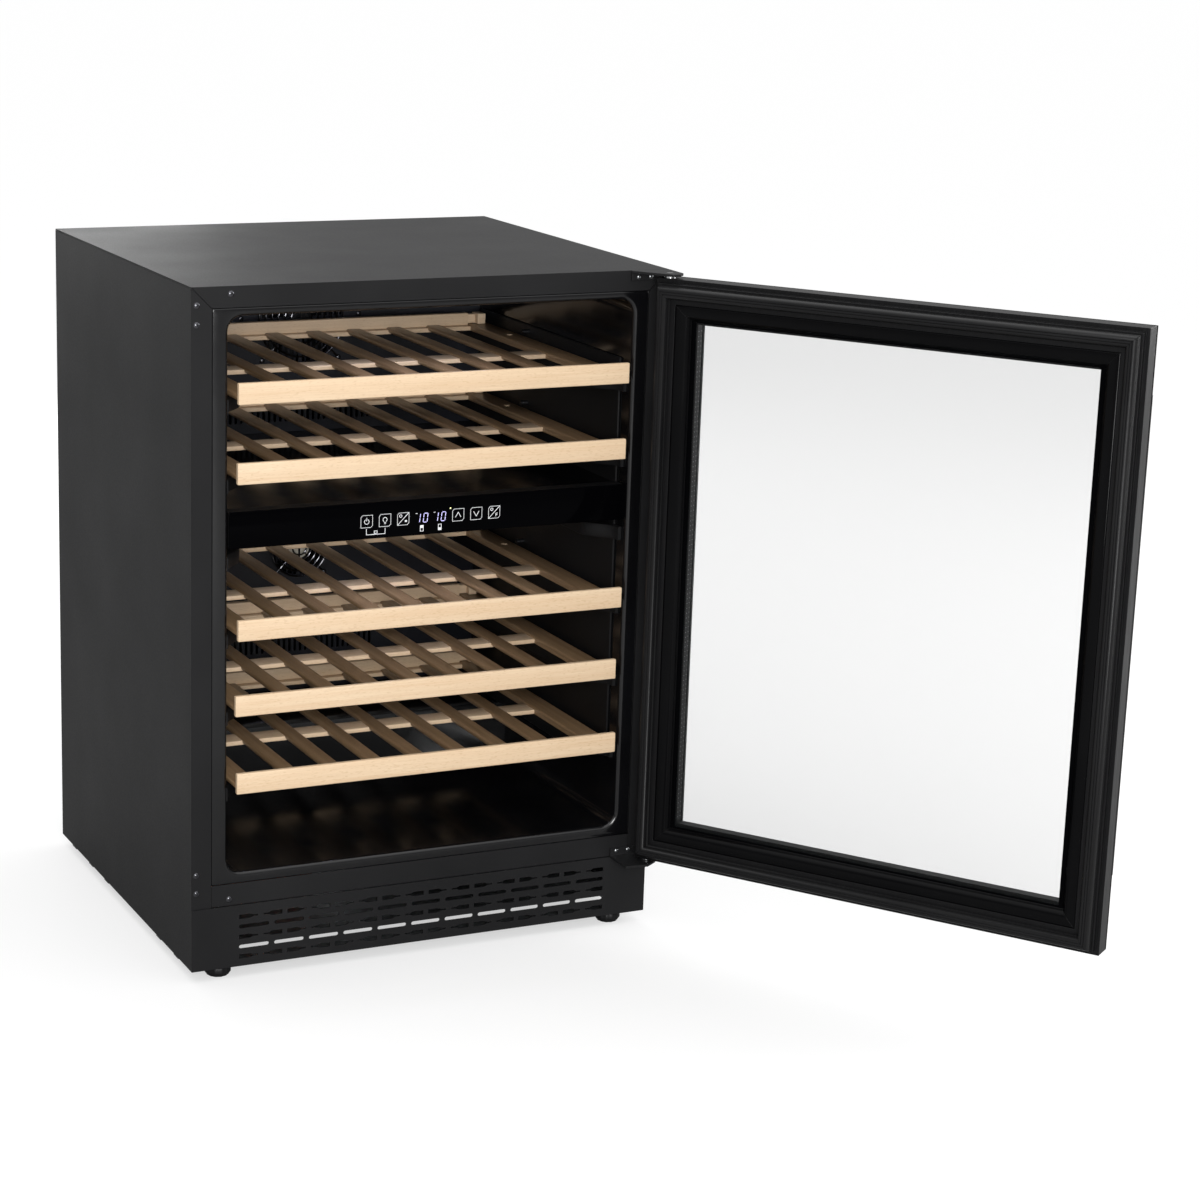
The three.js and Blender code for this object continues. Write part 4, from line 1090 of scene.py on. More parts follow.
def refined(
    node: str, finish: Finish, body: str, edge: float, angle: float = 30.0
) -> Piece:
    """A CAD node's own shape with merged points, whole faces and eased edges.

    Args:
        node: the node's name.
        finish: the piece's finish.
        body: the body it rides on.
        edge: the width of its eased edges in millimetres.
        angle: the angle past which an edge stays sharp.

    Returns:
        The piece, which stands for the node.
    """
    mesh = frame["nodes"][node].data.copy()
    work = bmesh.new()
    work.from_mesh(mesh)
    bmesh.ops.remove_doubles(work, verts=work.verts, dist=2e-6)
    bmesh.ops.dissolve_limit(work, angle_limit=math.radians(1), verts=work.verts, edges=work.edges)
    work.to_mesh(mesh)
    work.free()
    shade(mesh, angle)
    name = node + "_finished"
    mesh.name = name
    piece = bpy.data.objects.new(name, mesh)
    bpy.context.scene.collection.objects.link(piece)
    soften(piece, edge)
    settle(piece, finish, body, [node])
    return piece


# ------------------------------------------------------------------ lights


@dataclass(frozen=True)
class AreaLight:
    """A soft rectangular light aimed at a point.

    Attributes:
        name: its name.
        place: where it stands, in cabinet metres.
        size: its width and height in metres.
        power: its power in watts.
        target: the point that it faces, in cabinet metres.
        colour: its colour, sRGB hex.
    """

    name: str
    place: tuple[float, float, float]
    size: tuple[float, float]
    power: float
    target: tuple[float, float, float] = (0.15, 0.0, 0.42)
    colour: str = "#ffffff"

    def build(self) -> None:
        """Adds the light."""
        data = bpy.data.lights.new(self.name, "AREA")
        data.shape = "RECTANGLE"
        data.size, data.size_y = self.size
        data.energy = self.power
        data.color = linear(self.colour)[:3]
        lamp = bpy.data.objects.new(self.name, data)
        offset = Vector((DATUM.x, DATUM.y, 0.0))
        lamp.location = Vector(self.place) + offset
        aim = Vector(self.target) - Vector(self.place)
        lamp.rotation_euler = aim.to_track_quat("-Z", "Y").to_euler()
        bpy.context.scene.collection.objects.link(lamp)


# ------------------------------------------------------------------ cabinet

CABINET = "cabinet"


@dataclass(frozen=True)
class CabinetShell:
    """The painted sheets round the cabinet, its rear sheets, and their screws.

    Attributes:
        fold: the rounding of a folded sheet's edge, in millimetres.
        screws: places of the screws on the front flange, x and z.
        clip_places: how far back the clips under each side sheet sit.
        rear_screw_rows: heights of the screws along the rear sheet's sides.
        border: how far in from the rear sheet's edge its pressed frame begins.
        rise: how far that frame stands out.
    """

    fold: float = 0.35
    screws: tuple[tuple[float, float], ...] = (
        (250.8, 811.0), (290.9, 799.2), (291.0, 777.3), (291.4, 132.6), (291.2, 110.3),
        (250.9, 98.8),
    )
    clip_places: tuple[float, ...] = (52.0, 118.0, 330.0, 396.0, 470.0)
    rear_screw_rows: tuple[float, ...] = (250.0, 390.0, 530.0, 670.0, 800.0)
    border: float = 40.0
    rise: float = 1.2

    def build(self) -> None:
        """Builds the sheets and their fastenings."""
        for node in ("left_side_panel", "right_side_panel", "top_panel"):
            refined(node, POWDER_COAT, CABINET, self.fold)
        refined("lower_rail", POWDER_COAT, CABINET, 0.4)
        dress("kick_grille", POWDER_COAT)
        dress("base_frame", ZINC_SHEET)
        dress("compressor_bay_cover", ZINC_SHEET)
        self.build_rear()
        self.build_screws()
        self.build_clips()

    def build_rear(self) -> None:
        """The rear sheet and its screws. Rounded rectangles, each a few millimetres further in,
        step out and back in again: the pressed border."""
        low, high = cad("back_panel")
        sheet = bar(low, high, Axis.X, radius=0.7, ease=0.3)
        corner = 20.0
        signs, directions = rounded_outline(4)
        half, middle = (high - low)[[0, 2]] / 2, (high + low)[[0, 2]] / 2
        rings = []
        for inset, depth in ((0.0, 0.0), (6.0, self.rise), (14.0, self.rise), (20.0, 0.0)):
            flat = signs * (half - self.border - inset - corner) + corner * directions + middle
            level = np.full(len(flat), high[1] - 0.4 + depth - self.rise)
            rings.append(np.stack([flat[:, 0], level, flat[:, 1]], axis=1))
        pressing = loft(np.array(rings), closed=True)
        piece_from("rear_sheet", joined([sheet, pressing]), ZINC_SHEET, CABINET, ["back_panel"])
        heads = [
            dome_screw((side * (high[0] - 9), high[1] - 1.6, z), Axis.Y, 1.0, 3.6)
            for side in (-1, 1)
            for z in self.rear_screw_rows
        ]
        piece_from("rear_screws", joined(heads), CHROME_WIRE, CABINET)

    def build_screws(self) -> None:
        """Domed screws on the front flange, the same on both sides."""
        heads = [
            dome_screw((side * x, 0.05, z), Axis.Y, -1.0)
            for side in (-1, 1)
            for x, z in self.screws
            if side < 0 or 120 < z < 780
        ]
        piece_from("flange_screws", joined(heads), BLACKENED, CABINET)

    def build_clips(self) -> None:
        """Small spring clips that hold the base under each side sheet."""
        edge = cad("left_side_panel")[0]
        clips = []
        for side in (-1, 1):
            for y in self.clip_places:
                outer = side * (abs(edge[0]) - 1.0)
                inner = side * (abs(edge[0]) - 9.0)
                low = (min(outer, inner), y, edge[2] - 3.2)
                high = (max(outer, inner), y + 17.0, edge[2] - 0.2)
                clips.append(bar(low, high, Axis.Y, radius=1.0, ease=0.8))
        piece_from("base_clips", joined(clips), BLACKENED, CABINET)


@dataclass(frozen=True)
class Liner:
    """The moulded liner: a rounded lip, straight walls, and the step over the compressor bay.

    Attributes:
        corner: the corner radius of the opening.
        lip_roll: the radius of the lip's roll into the walls.
        back_roll: the radius where the walls meet the back.
        step_roll: the radius on the step's edge.
        lip_height: how high the opening begins over the lip's lower edge.
        top_lip: how far under the lip's upper edge it ends.
        step_top: the height of the step's top.
        step_front: how far back the step's front stands.
    """

    corner: float = 18.0
    lip_roll: float = 5.0
    back_roll: float = 12.0
    step_roll: float = 14.0
    lip_height: float = 13.3
    top_lip: float = 9.5
    step_top: float = 212.0
    step_front: float = 326.0

    def build(self) -> None:
        """Builds the shell and the step."""
        low, high = cad("liner")
        half = cad("upper_duct_panel")[1][0] + 0.3
        bottom, top = low[2] + self.lip_height, high[2] - self.top_lip
        middle, rise = (bottom + top) / 2, (top - bottom) / 2
        back = high[1] - 2.0
        quarter = np.linspace(0, math.pi / 2, 7)
        lag, lead = 1 - np.sin(quarter), 1 - np.cos(quarter)
        # How far each ring grows past the opening, and how deep it lies.
        stations = [
            *zip(self.lip_roll * lag, self.lip_roll * lead),
            *zip(-self.back_roll * lead, back - self.back_roll * lag),
        ]
        signs, directions = rounded_outline(8)
        rings = []
        lip_half = np.array([high[0], (high[2] - low[2]) / 2])
        lip_middle = (high[2] + low[2]) / 2
        for shrink, y, radius in ((0.0, 1.9, 2.0), (0.0, 1.2, 2.0), (0.7, 0.35, 2.0), (1.5, 0.05, 2.0)):
            flat = signs * (lip_half - shrink - radius) + radius * directions
            rings.append(np.stack([flat[:, 0], np.full(len(flat), y), flat[:, 1] + lip_middle], axis=1))
        for grow, y in stations:
            radius = self.corner + grow
            flat = signs * (np.array([half, rise]) - self.corner) + radius * directions
            rings.append(
                np.stack([flat[:, 0], np.full(len(flat), y + 0.05), flat[:, 1] + middle], axis=1)
            )
        shell = loft(np.array(rings), caps=False)
        last = (len(rings) - 1) * len(signs)
        shell = Surface(shell.points, shell.faces + [tuple(range(last, last + len(signs)))])
        piece = piece_from("liner_shell", shell, LINER_GLOSS, CABINET, ["liner"], wall=1.5)
        piece.modifiers["wall"].offset = self.outer_side(piece)
        self.build_step(half, bottom, back)

    @staticmethod
    def outer_side(piece: Piece) -> float:
        """Which way the wall grows, so that it lies outside the hollow: against the normals of
        the rear face if they point forward, along them otherwise.

        Args:
            piece: the shell.

        Returns:
            The wall's offset.
        """
        rear = max(piece.data.polygons, key=lambda face: face.center.y)
        return -1.0 if rear.normal.y < 0 else 1.0

    def build_step(self, half: float, bottom: float, back: float) -> None:
        """The step: its outline in y and z, with a hollow curve at its foot and a round at its
        edge, carried across the liner.

        Args:
            half: half the liner's width.
            bottom: the height of the opening's lower edge.
            back: how far back the liner goes.
        """
        roll, front, top = self.step_roll, self.step_front, self.step_top
        outline = [
            (back - 2, bottom - 0.5),
            (front - 10, bottom - 0.5),
            *arc((front - 10, bottom + 10), 10, -90, 0),
            *arc((front + roll, top - roll), roll, 180, 90),
            (back - 2, top),
        ]
        piece_from("liner_step", prism(outline, Axis.X, -half + 0.2, half - 0.2), LINER_GLOSS, CABINET)


@dataclass(frozen=True)
class ShelfSupports:
    """Moulded ledges along both walls, and the pins that stop the shelves.

    Attributes:
        ledge_height: a ledge's height.
        ledge_width: how far a ledge stands in from the wall plate.
        nose_start: how far behind the supports' front a ledge begins.
        nose_length: how long its widening nose is.
        plate: the thickness of the plate on the wall.
        pin_radius: the stop pins' radius.
        pin_reach: how far a pin stands in from the wall.
        pin_y: how far back the pins stand.
        plate_front: how far back the wall plate begins.
    """

    ledge_height: float = 16.3
    ledge_width: float = 30.5
    nose_start: float = 9.0
    nose_length: float = 46.0
    plate: float = 2.7
    pin_radius: float = 3.0
    pin_reach: float = 12.5
    pin_y: float = 280.0
    plate_front: float = 26.9

    def build(self, tops: Sequence[float], pins: Sequence[float]) -> None:
        """Builds both sides.

        Args:
            tops: the heights of the ledges' tops.
            pins: the heights of the stop pins.
        """
        for side, word in ((-1, "left"), (1, "right")):
            node = f"{word}_shelf_support"
            low, high = cad(node)
            wall = high[0] if side > 0 else low[0]
            parts = [self.across(wall, side, (self.plate_front, low[2]), (high[1], high[2]))]
            for top in tops:
                parts.append(self.ledge(wall, side, low[1], high[1], top))
            # the ledges take the darker copy of the satin plastic, which is painted shade
            piece_from(f"{word}_ledges", joined(parts), SHADED_SUPPORT_ABS, CABINET, [node])
            heads = []
            for z in pins:
                profile = [
                    (0.0, 0.0), (self.pin_radius, 0.0), (self.pin_radius, self.pin_reach - 1.0),
                    (self.pin_radius - 1.0, self.pin_reach), (0.0, self.pin_reach),
                ]
                foot = (wall - side * 0.4, self.pin_y, z)
                heads.append(lathe(profile, foot, Axis.X, 16, outward=-side))
            piece_from(f"{word}_stop_pins", joined(heads), BLACKENED, CABINET)

    def ledge(self, wall: float, side: int, y0: float, y1: float, top: float) -> Surface:
        """A ledge whose nose widens from the wall plate along an S-shaped curve: its reach is a
        cosine blend of the plate's and the full one.

        Args:
            wall: the x of the liner's wall.
            side: -1 on the left, 1 on the right.
            y0: where the nose begins.
            y1: the ledge's rear end.
            top: the height of its top.

        Returns:
            The ledge.
        """
        run = np.linspace(0.0, 1.0, 9)
        reach = self.plate + 1.5 + (self.ledge_width - 1.5) * (1 - np.cos(math.pi * run)) / 2
        outline = [
            (wall, y1),
            (wall, y0 + self.nose_start),
            *zip(wall - side * reach, y0 + self.nose_start + self.nose_length * run),
            (wall - side * (self.plate + self.ledge_width), y1),
        ]
        flat = np.array(outline, float)
        heights = np.array([-self.ledge_height, -self.ledge_height + 0.8, -0.8, 0.0]) + top
        shrink = np.array([0.8, 0.0, 0.0, 0.8])
        rings = np.empty((4, len(flat), 3))
        rings[:, :, 0] = flat[None, :, 0]
        rings[:, 2:, 0] += side * shrink[:, None]
        rings[:, :, 1] = flat[None, :, 1]
        rings[:, :, 2] = heights[:, None]
        return loft(rings)

    def across(
        self, wall: float, side: int, low: tuple[float, float], high: tuple[float, float]
    ) -> Surface:
        """The plate that stands in from a side wall, between two corners in y and z."""
        x0, x1 = sorted((wall, wall - side * self.plate))
        return bar((x0, *low), (x1, *high), Axis.Y, radius=0.8, ease=0.64)


@dataclass(frozen=True)
class Shelf:
    """One sliding shelf: a beech front board, slats on two crossbars between side rails, and a
    stop along its rear.

    Attributes:
        number: which shelf it is, from the lowest.
        rail_width: a side rail's width.
        post_depth: how far the rear posts stand in front of the stop.
        rebate: the width of the step under each rail's outer edge.
        rebate_height: that step's height.
        slat_count: how many slats there are.
        slat_width: a slat's width.
        slat_space: the space between two slats.
        slat_thickness: a slat's thickness.
        bar_drop: how far the crossbars' tops lie under the slats'.
        mid_bar: where the middle crossbar begins and ends behind the board's face.
        rear_bar: the rear crossbar's width.
        plug_from_front: how far behind the board's face the plugs sit.
        plug_radius: a plug's radius.
    """

    number: int
    rail_width: float = 28.0
    post_depth: float = 9.0
    rebate: float = 4.5
    rebate_height: float = 3.4
    slat_count: int = 7
    slat_width: float = 20.0
    slat_space: float = 35.6
    slat_thickness: float = 6.5
    bar_drop: float = 2.5
    mid_bar: tuple[float, float] = (172.0, 202.0)
    rear_bar: float = 19.0
    plug_from_front: float = 308.0
    plug_radius: float = 4.2

    def build(self) -> None:
        """Builds the shelf's members."""
        body = f"shelf_{self.number}"
        board_low, board_high = cad(f"{body}_front_board")
        board = bar(board_low, board_high, Axis.X, radius=1.3, ease=1.1, steps=4)
        piece_from(f"{body}_board", board, BEECH_ACROSS, body, [f"{body}_front_board"])
        low, high = cad(f"{body}_rack")
        face = board_low[1]
        inner = high[0] - self.rail_width
        shoulder = low[2] + self.rebate_height
        rails = []
        for side in (-1, 1):
            outer, foot = side * high[0], side * (high[0] - self.rebate)
            near, far = sorted((side * inner, outer))
            rails.append(bar((near, low[1], shoulder), (far, high[1], high[2]), Axis.Y, 1.4, 0.8))
            near, far = sorted((side * inner, foot))
            rails.append(bar((near, low[1], low[2]), (far, high[1], shoulder + 0.6), Axis.Y, 0.6, 0.4))
        piece_from(f"{body}_rails", joined(rails), BEECH_ALONG, body, [f"{body}_rack"])
        stop_low, stop_high = cad(f"{body}_rear_stop")
        pitch = self.slat_width + self.slat_space
        half = self.slat_width / 2
        slats = []
        for k in range(self.slat_count):
            x = (k - (self.slat_count - 1) / 2) * pitch
            start = (x - half, low[1], high[2] - self.slat_thickness)
            stop = (x + half, stop_low[1] - 0.5, high[2])
            slats.append(bar(start, stop, Axis.Y, radius=2.6, ease=0.8, steps=4))
        piece_from(f"{body}_slats", joined(slats), BEECH_ALONG, body)
        self.build_bars(body, face, inner, low, high)
        self.build_stop(body, stop_low, stop_high, inner)
        self.build_plugs(body, face, high, inner)

    def build_bars(self, body: str, face: float, inner: float, low: Array, high: Array) -> None:
        """The two crossbars, let into the rails, with their tops under the slats' tops.

        Args:
            body: the shelf's body.
            face: the y of the board's face.
            inner: half the distance between the rails.
            low: the rack's lowest corner.
            high: the rack's highest corner.
        """
        top = high[2] - self.bar_drop
        spans = [
            (face + self.mid_bar[0], face + self.mid_bar[1]),
            (high[1] - self.rear_bar, high[1] - 0.2),
        ]
        bars = [
            bar((-inner - 1, y0, low[2] + 0.4), (inner + 1, y1, top), Axis.X, 0.9, 0.3)
            for y0, y1 in spans
        ]
        piece_from(f"{body}_crossbars", joined(bars), BEECH_ACROSS, body)

    def build_stop(self, body: str, low: Array, high: Array, inner: float) -> None:
        """The stop along the rear, with a block and a short post at each end, over the rail.

        Args:
            body: the shelf's body.
            low: the stop's lowest corner.
            high: the stop's highest corner.
            inner: half the distance between the rails.
        """
        middle = bar((-inner + 0.3, low[1], low[2]), (inner - 0.3, high[1], high[2]), Axis.X, 1.1, 0.5)
        foot = low[2] + 2.5
        blocks = []
        for side in (-1, 1):
            near, far = sorted((side * (inner - 2), side * (high[0] - 4)))
            start, end = (near, low[1] + 0.2, foot), (far, high[1] - 0.2, high[2] - 1.5)
            blocks.append(bar(start, end, Axis.X, 1.1, 0.9))
            near, far = sorted((side * (high[0] - 15), side * (high[0] - 4)))
            front = low[1] - self.post_depth
            blocks.append(bar((near, front, foot), (far, high[1] - 0.4, high[2]), Axis.Z, 1.0, 0.8))
        stop = joined([middle, *blocks])
        piece_from(f"{body}_stop", stop, BEECH_ACROSS, body, [f"{body}_rear_stop"])

    def build_plugs(self, body: str, face: float, high: Array, inner: float) -> None:
        """A turned plug in the top of each rail, where the rail is pinned.

        Args:
            body: the shelf's body.
            face: the y of the board's face.
            high: the rack's highest corner.
            inner: half the distance between the rails.
        """
        radius = self.plug_radius
        profile = [(0.0, 0.5), (radius - 0.6, 0.5), (radius, 0.1), (radius, -1.0), (0.0, -1.0)]
        x, y = inner + self.rail_width / 2, face + self.plug_from_front
        plugs = [lathe(profile, (side * x, y, high[2]), Axis.Z, 18) for side in (-1, 1)]
        piece_from(f"{body}_plugs", joined(plugs), BEECH_ACROSS, body)


class Zone(Enum):
    """The two cooled zones."""

    UPPER = "upper"
    LOWER = "lower"


@dataclass(frozen=True)
class CirculationFan:
    """A fan behind its duct panel: wire guard, rotor and ribs.

    Attributes:
        zone: which zone it cools.
        size: the fan's nominal size.
        bolts: the spacing of its bolts.
        rings: how many wire rings the guard has.
        wire: the wire's radius.
        rib_pitch: the spacing of the duct's ribs.
    """

    zone: Zone
    size: float
    bolts: float
    rings: int
    wire: float = 1.1
    rib_pitch: float = 7.6

    def build(self) -> None:
        """Builds the guard, the feet's screws, the ribs and the rotor."""
        word = self.zone.value
        low, high = cad(f"{word}_fan_guard")
        z = (low[2] + high[2]) / 2
        plane = low[1] + self.wire
        wires = []
        for k in range(self.rings):
            radius = self.size * (0.12 + 0.36 * k / (self.rings - 1))
            wires.append(tube(circle_path((0, plane, z), radius, Axis.Y), self.wire, closed=True))
        reach = self.bolts / 2
        for dx, dz in ((1, 1), (1, -1), (-1, 1), (-1, -1)):
            start, bend, foot = 0.12 * self.size / math.sqrt(2), reach - 3.5, reach
            depth = [plane + 1.6, plane + 1.6, plane + 1.6, plane + 2.6, high[1] - 0.6]
            out = [start, 0.5 * (start + bend), bend, bend + 2.2, foot]
            path = np.array([[dx * o, y, z + dz * o] for o, y in zip(out, depth)])
            wires.append(tube(path, self.wire))
            eye = circle_path((dx * reach, high[1] - 0.6, z + dz * reach), 2.8, Axis.Y, 20)
            wires.append(tube(eye, self.wire * 0.8, closed=True))
        piece_from(f"{word}_wire_guard", joined(wires), DARK_WIRE, CABINET, [f"{word}_fan_guard"])
        self.build_hub(word, plane, z)
        heads = [
            dome_screw((dx * reach, high[1] - 1.4, z + dz * reach), Axis.Y, -1.0, 3.4)
            for dx in (-1, 1)
            for dz in (-1, 1)
        ]
        piece_from(f"{word}_guard_screws", joined(heads), BLACKENED, CABINET)
        self.build_ribs(word, z, high[1])
        dress(f"{word}_fan_rotor", SATIN_ABS)

    def build_hub(self, word: str, plane: float, z: float) -> None:
        """The motor's face: a dished disc with a rim and four short spokes over it.

        Args:
            word: the zone's word.
            plane: the y of the guard's rings.
            z: the fan's height.
        """
        reach = self.size * (0.175 if self.zone is Zone.LOWER else 0.11)
        dish = [
            (0.0, 0.4), (reach * 0.3, 0.4), (reach * 0.36, 1.0), (reach * 0.5, 1.0),
            (reach * 0.56, 0.2), (reach * 0.8, 0.2), (reach * 0.88, 1.2), (reach, 0.9),
            (reach, -2.0), (0.0, -2.0),
        ]
        finish = CREAM_ABS if self.zone is Zone.LOWER else SATIN_ABS
        disc = lathe(dish, (0, plane + 2.2, z), Axis.Y, 36, outward=-1.0)
        piece_from(f"{word}_fan_hub", disc, finish, CABINET)
        spokes = [
            bar((x0, plane + 0.4, z + z0), (x1, plane + 1.9, z + z1), axis, 0.7, 0.4)
            for x0, x1, z0, z1, axis in (
                (-reach, reach, -1.3, 1.3, Axis.X),
                (-1.3, 1.3, -reach, reach, Axis.Z),
            )
        ]
        piece_from(f"{word}_hub_spokes", joined(spokes), SATIN_ABS, CABINET)

    def build_ribs(self, word: str, z: float, face: float) -> None:
        """Upright ribs across the opening, each as long as the circle is high where it stands:
        twice the root of the radius squared less x squared.

        Args:
            word: the zone's word.
            z: the fan's height.
            face: the y of the duct panel's face.
        """
        radius = self.size / 2 - 2.5
        count = int(radius // self.rib_pitch)
        ribs = []
        for k in range(-count, count + 1):
            x = k * self.rib_pitch
            reach = math.sqrt(max(radius**2 - x**2, 0.0)) + 0.6
            low, high = (x - 1.1, face + 0.5, z - reach), (x + 1.1, face + 2.6, z + reach)
            ribs.append(bar(low, high, Axis.Z, 0.7, 0.3))
        piece_from(f"{word}_fan_ribs", joined(ribs), DUCT_ABS, CABINET)


@dataclass(frozen=True)
class Ducts:
    """The two duct panels, what is fixed to them, and the cold plates behind.

    Attributes:
        screw_spots: places of the screws, x to both sides and z.
    """

    screw_spots: tuple[tuple[float, float], ...] = (
        (81.0, 710.0), (225.0, 745.0), (225.0, 590.0), (200.0, 490.0), (200.0, 240.0),
    )

    def build(self) -> None:
        """Builds the ducts' fittings and both fans."""
        for zone in Zone:
            dress(f"{zone.value}_duct_panel", DUCT_ABS)
            dress(f"{zone.value}_evaporator", MILL_ALUMINIUM)
        CirculationFan(Zone.UPPER, 120.0, 105.0, 6).build()
        CirculationFan(Zone.LOWER, 80.0, 71.5, 5).build()
        face = cad("lower_duct_panel")[0][1]
        heads = [
            dome_screw((side * x, face + 0.05, z), Axis.Y, -1.0, 3.4)
            for side in (-1, 1)
            for x, z in self.screw_spots
        ]
        piece_from("duct_screws", joined(heads), BLACKENED, CABINET)


# ------------------------------------------------------------------ controls


Stroke = list[tuple[float, float]]


@dataclass(frozen=True)
class ControlUnit:
    """The touch panel between the zones: printed glass, symbols, digits, housing and divider.

    Attributes:
        key: a key's size.
        line: the width of a printed outline.
        stroke: the width of a symbol's strokes.
        row: height of the keys' middles over the panel's lower edge.
        lamp_power: a lamp's light in watts.
        digit_height: a digit's height.
        digit_width: a digit's width.
        slant: how far a digit leans to the right for each unit that it rises.
    """

    key: float = 15.0
    line: float = 0.45
    stroke: float = 0.62
    row: float = 20.8
    lamp_power: float = 0.14
    digit_height: float = 10.6
    digit_width: float = 5.0
    slant: float = 0.12

    def build(self) -> None:
        """Builds the panel and what stands behind it."""
        low, high = cad("control_glass")
        glass = bar(low, high, Axis.X, radius=0.7, ease=0.6)
        piece_from("control_panel", glass, PRINTED_GLASS, CABINET, ["control_glass"])
        dress("control_housing", SATIN_ABS)
        refined("zone_divider", LINER_GLOSS, CABINET, 0.8)
        for zone in Zone:
            refined(f"{zone.value}_lamp", LAMP_LENS, CABINET, 0.8)
            self.light_zone(zone)
        z = low[2] + self.row
        face = low[1]
        outlines, lines = [], []
        for place, strokes in self.symbols():
            for stroke in strokes:
                moved = [(x + place[0], y + place[1]) for x, y in stroke]
                (outlines if len(stroke) == 7 else lines).append(moved)
        prints = [
            self.printed(outlines, face, z, self.line),
            self.printed(lines, face, z, self.stroke),
        ]
        piece_from("panel_symbols", joined(prints), SYMBOL_INK, CABINET)
        digits = [
            [(x + at, y - 0.4) for x, y in stroke] for at in (-11.6, 11.1) for stroke in self.ten()
        ]
        piece_from("panel_digits", self.printed(digits, face, z, 0.8), DIGIT_GLOW, CABINET)
        dot = [(0.0, 0.35), (0.9, 0.3), (1.0, 0.0), (0.0, 0.0)]
        ready = lathe(dot, (22.3, face + 0.02, z + 8.7), Axis.Y, 12, outward=-0.2)
        piece_from("panel_ready_dot", ready, READY_GLOW, CABINET)

    def light_zone(self, zone: Zone) -> None:
        """The cold light that a lamp throws down into its zone.

        Args:
            zone: the zone.
        """
        low, high = cad(f"{zone.value}_lamp")
        middle = (low + high) / 2 * MM
        place = (float(middle[0]), float(middle[1]), float(low[2]) * MM - 0.002)
        below = (place[0], place[1] + 0.12, place[2] - 0.3)
        size = (0.21, 0.01)
        AreaLight(f"{zone.value}_glow", place, size, self.lamp_power, below, "#dfe3ff").build()

    def printed(self, strokes: list[Stroke], face: float, z: float, width: float) -> Surface:
        """Each stretch of a stroke as a flat bar 0.1 mm proud of the glass, a little longer than
        the stretch so that corners close.

        Args:
            strokes: lines of points, x and height over the row.
            face: the glass's front.
            z: the row's height.
            width: the line's width.

        Returns:
            All of the bars.
        """
        pairs = [(a, b) for stroke in strokes for a, b in zip(stroke[:-1], stroke[1:])]
        start, stop = np.array([p[0] for p in pairs]), np.array([p[1] for p in pairs])
        ahead = stop - start
        ahead /= np.linalg.norm(ahead, axis=1, keepdims=True)
        across = np.stack([-ahead[:, 1], ahead[:, 0]], axis=1) * width / 2
        start, stop = start - ahead * width * 0.32, stop + ahead * width * 0.32
        corners = np.stack([start - across, stop - across, stop + across, start + across], axis=1)
        parts = []
        for k, corner in enumerate(corners):
            proud = 0.06 + 0.004 * (k % 5)
            outline = [(float(x), float(v) + z) for x, v in corner]
            parts.append(prism(outline, Axis.Y, face - proud, face - 0.01))
        return joined(parts)

    def box(self) -> Stroke:
        """A key's outline: a square with two cut corners.

        Returns:
            The closed line.
        """
        half, cut = self.key / 2 - self.line / 2, 2.2
        return [
            (-half + cut, half), (half, half), (half, -half + cut), (half - cut, -half),
            (-half, -half), (-half, half - cut), (-half + cut, half),
        ]

    def ten(self) -> list[Stroke]:
        """The segments of a slanted ten: two uprights for the one, six segments for the nought.

        Returns:
            The segments.
        """
        tall, wide, gap = self.digit_height / 2, self.digit_width, 0.75

        def leaning(stroke: Stroke) -> Stroke:
            """Leans a stroke to the right as it rises."""
            return [(x + self.slant * y, y) for x, y in stroke]

        left, right = -0.1, -0.1 + wide
        uprights = [
            [(x, side * gap), (x, side * (tall - gap))] for x in (-4.6, left, right) for side in (-1, 1)
        ]
        levels = [[(left + gap, side * tall), (right - gap, side * tall)] for side in (-1, 1)]
        return [leaning(stroke) for stroke in uprights + levels]

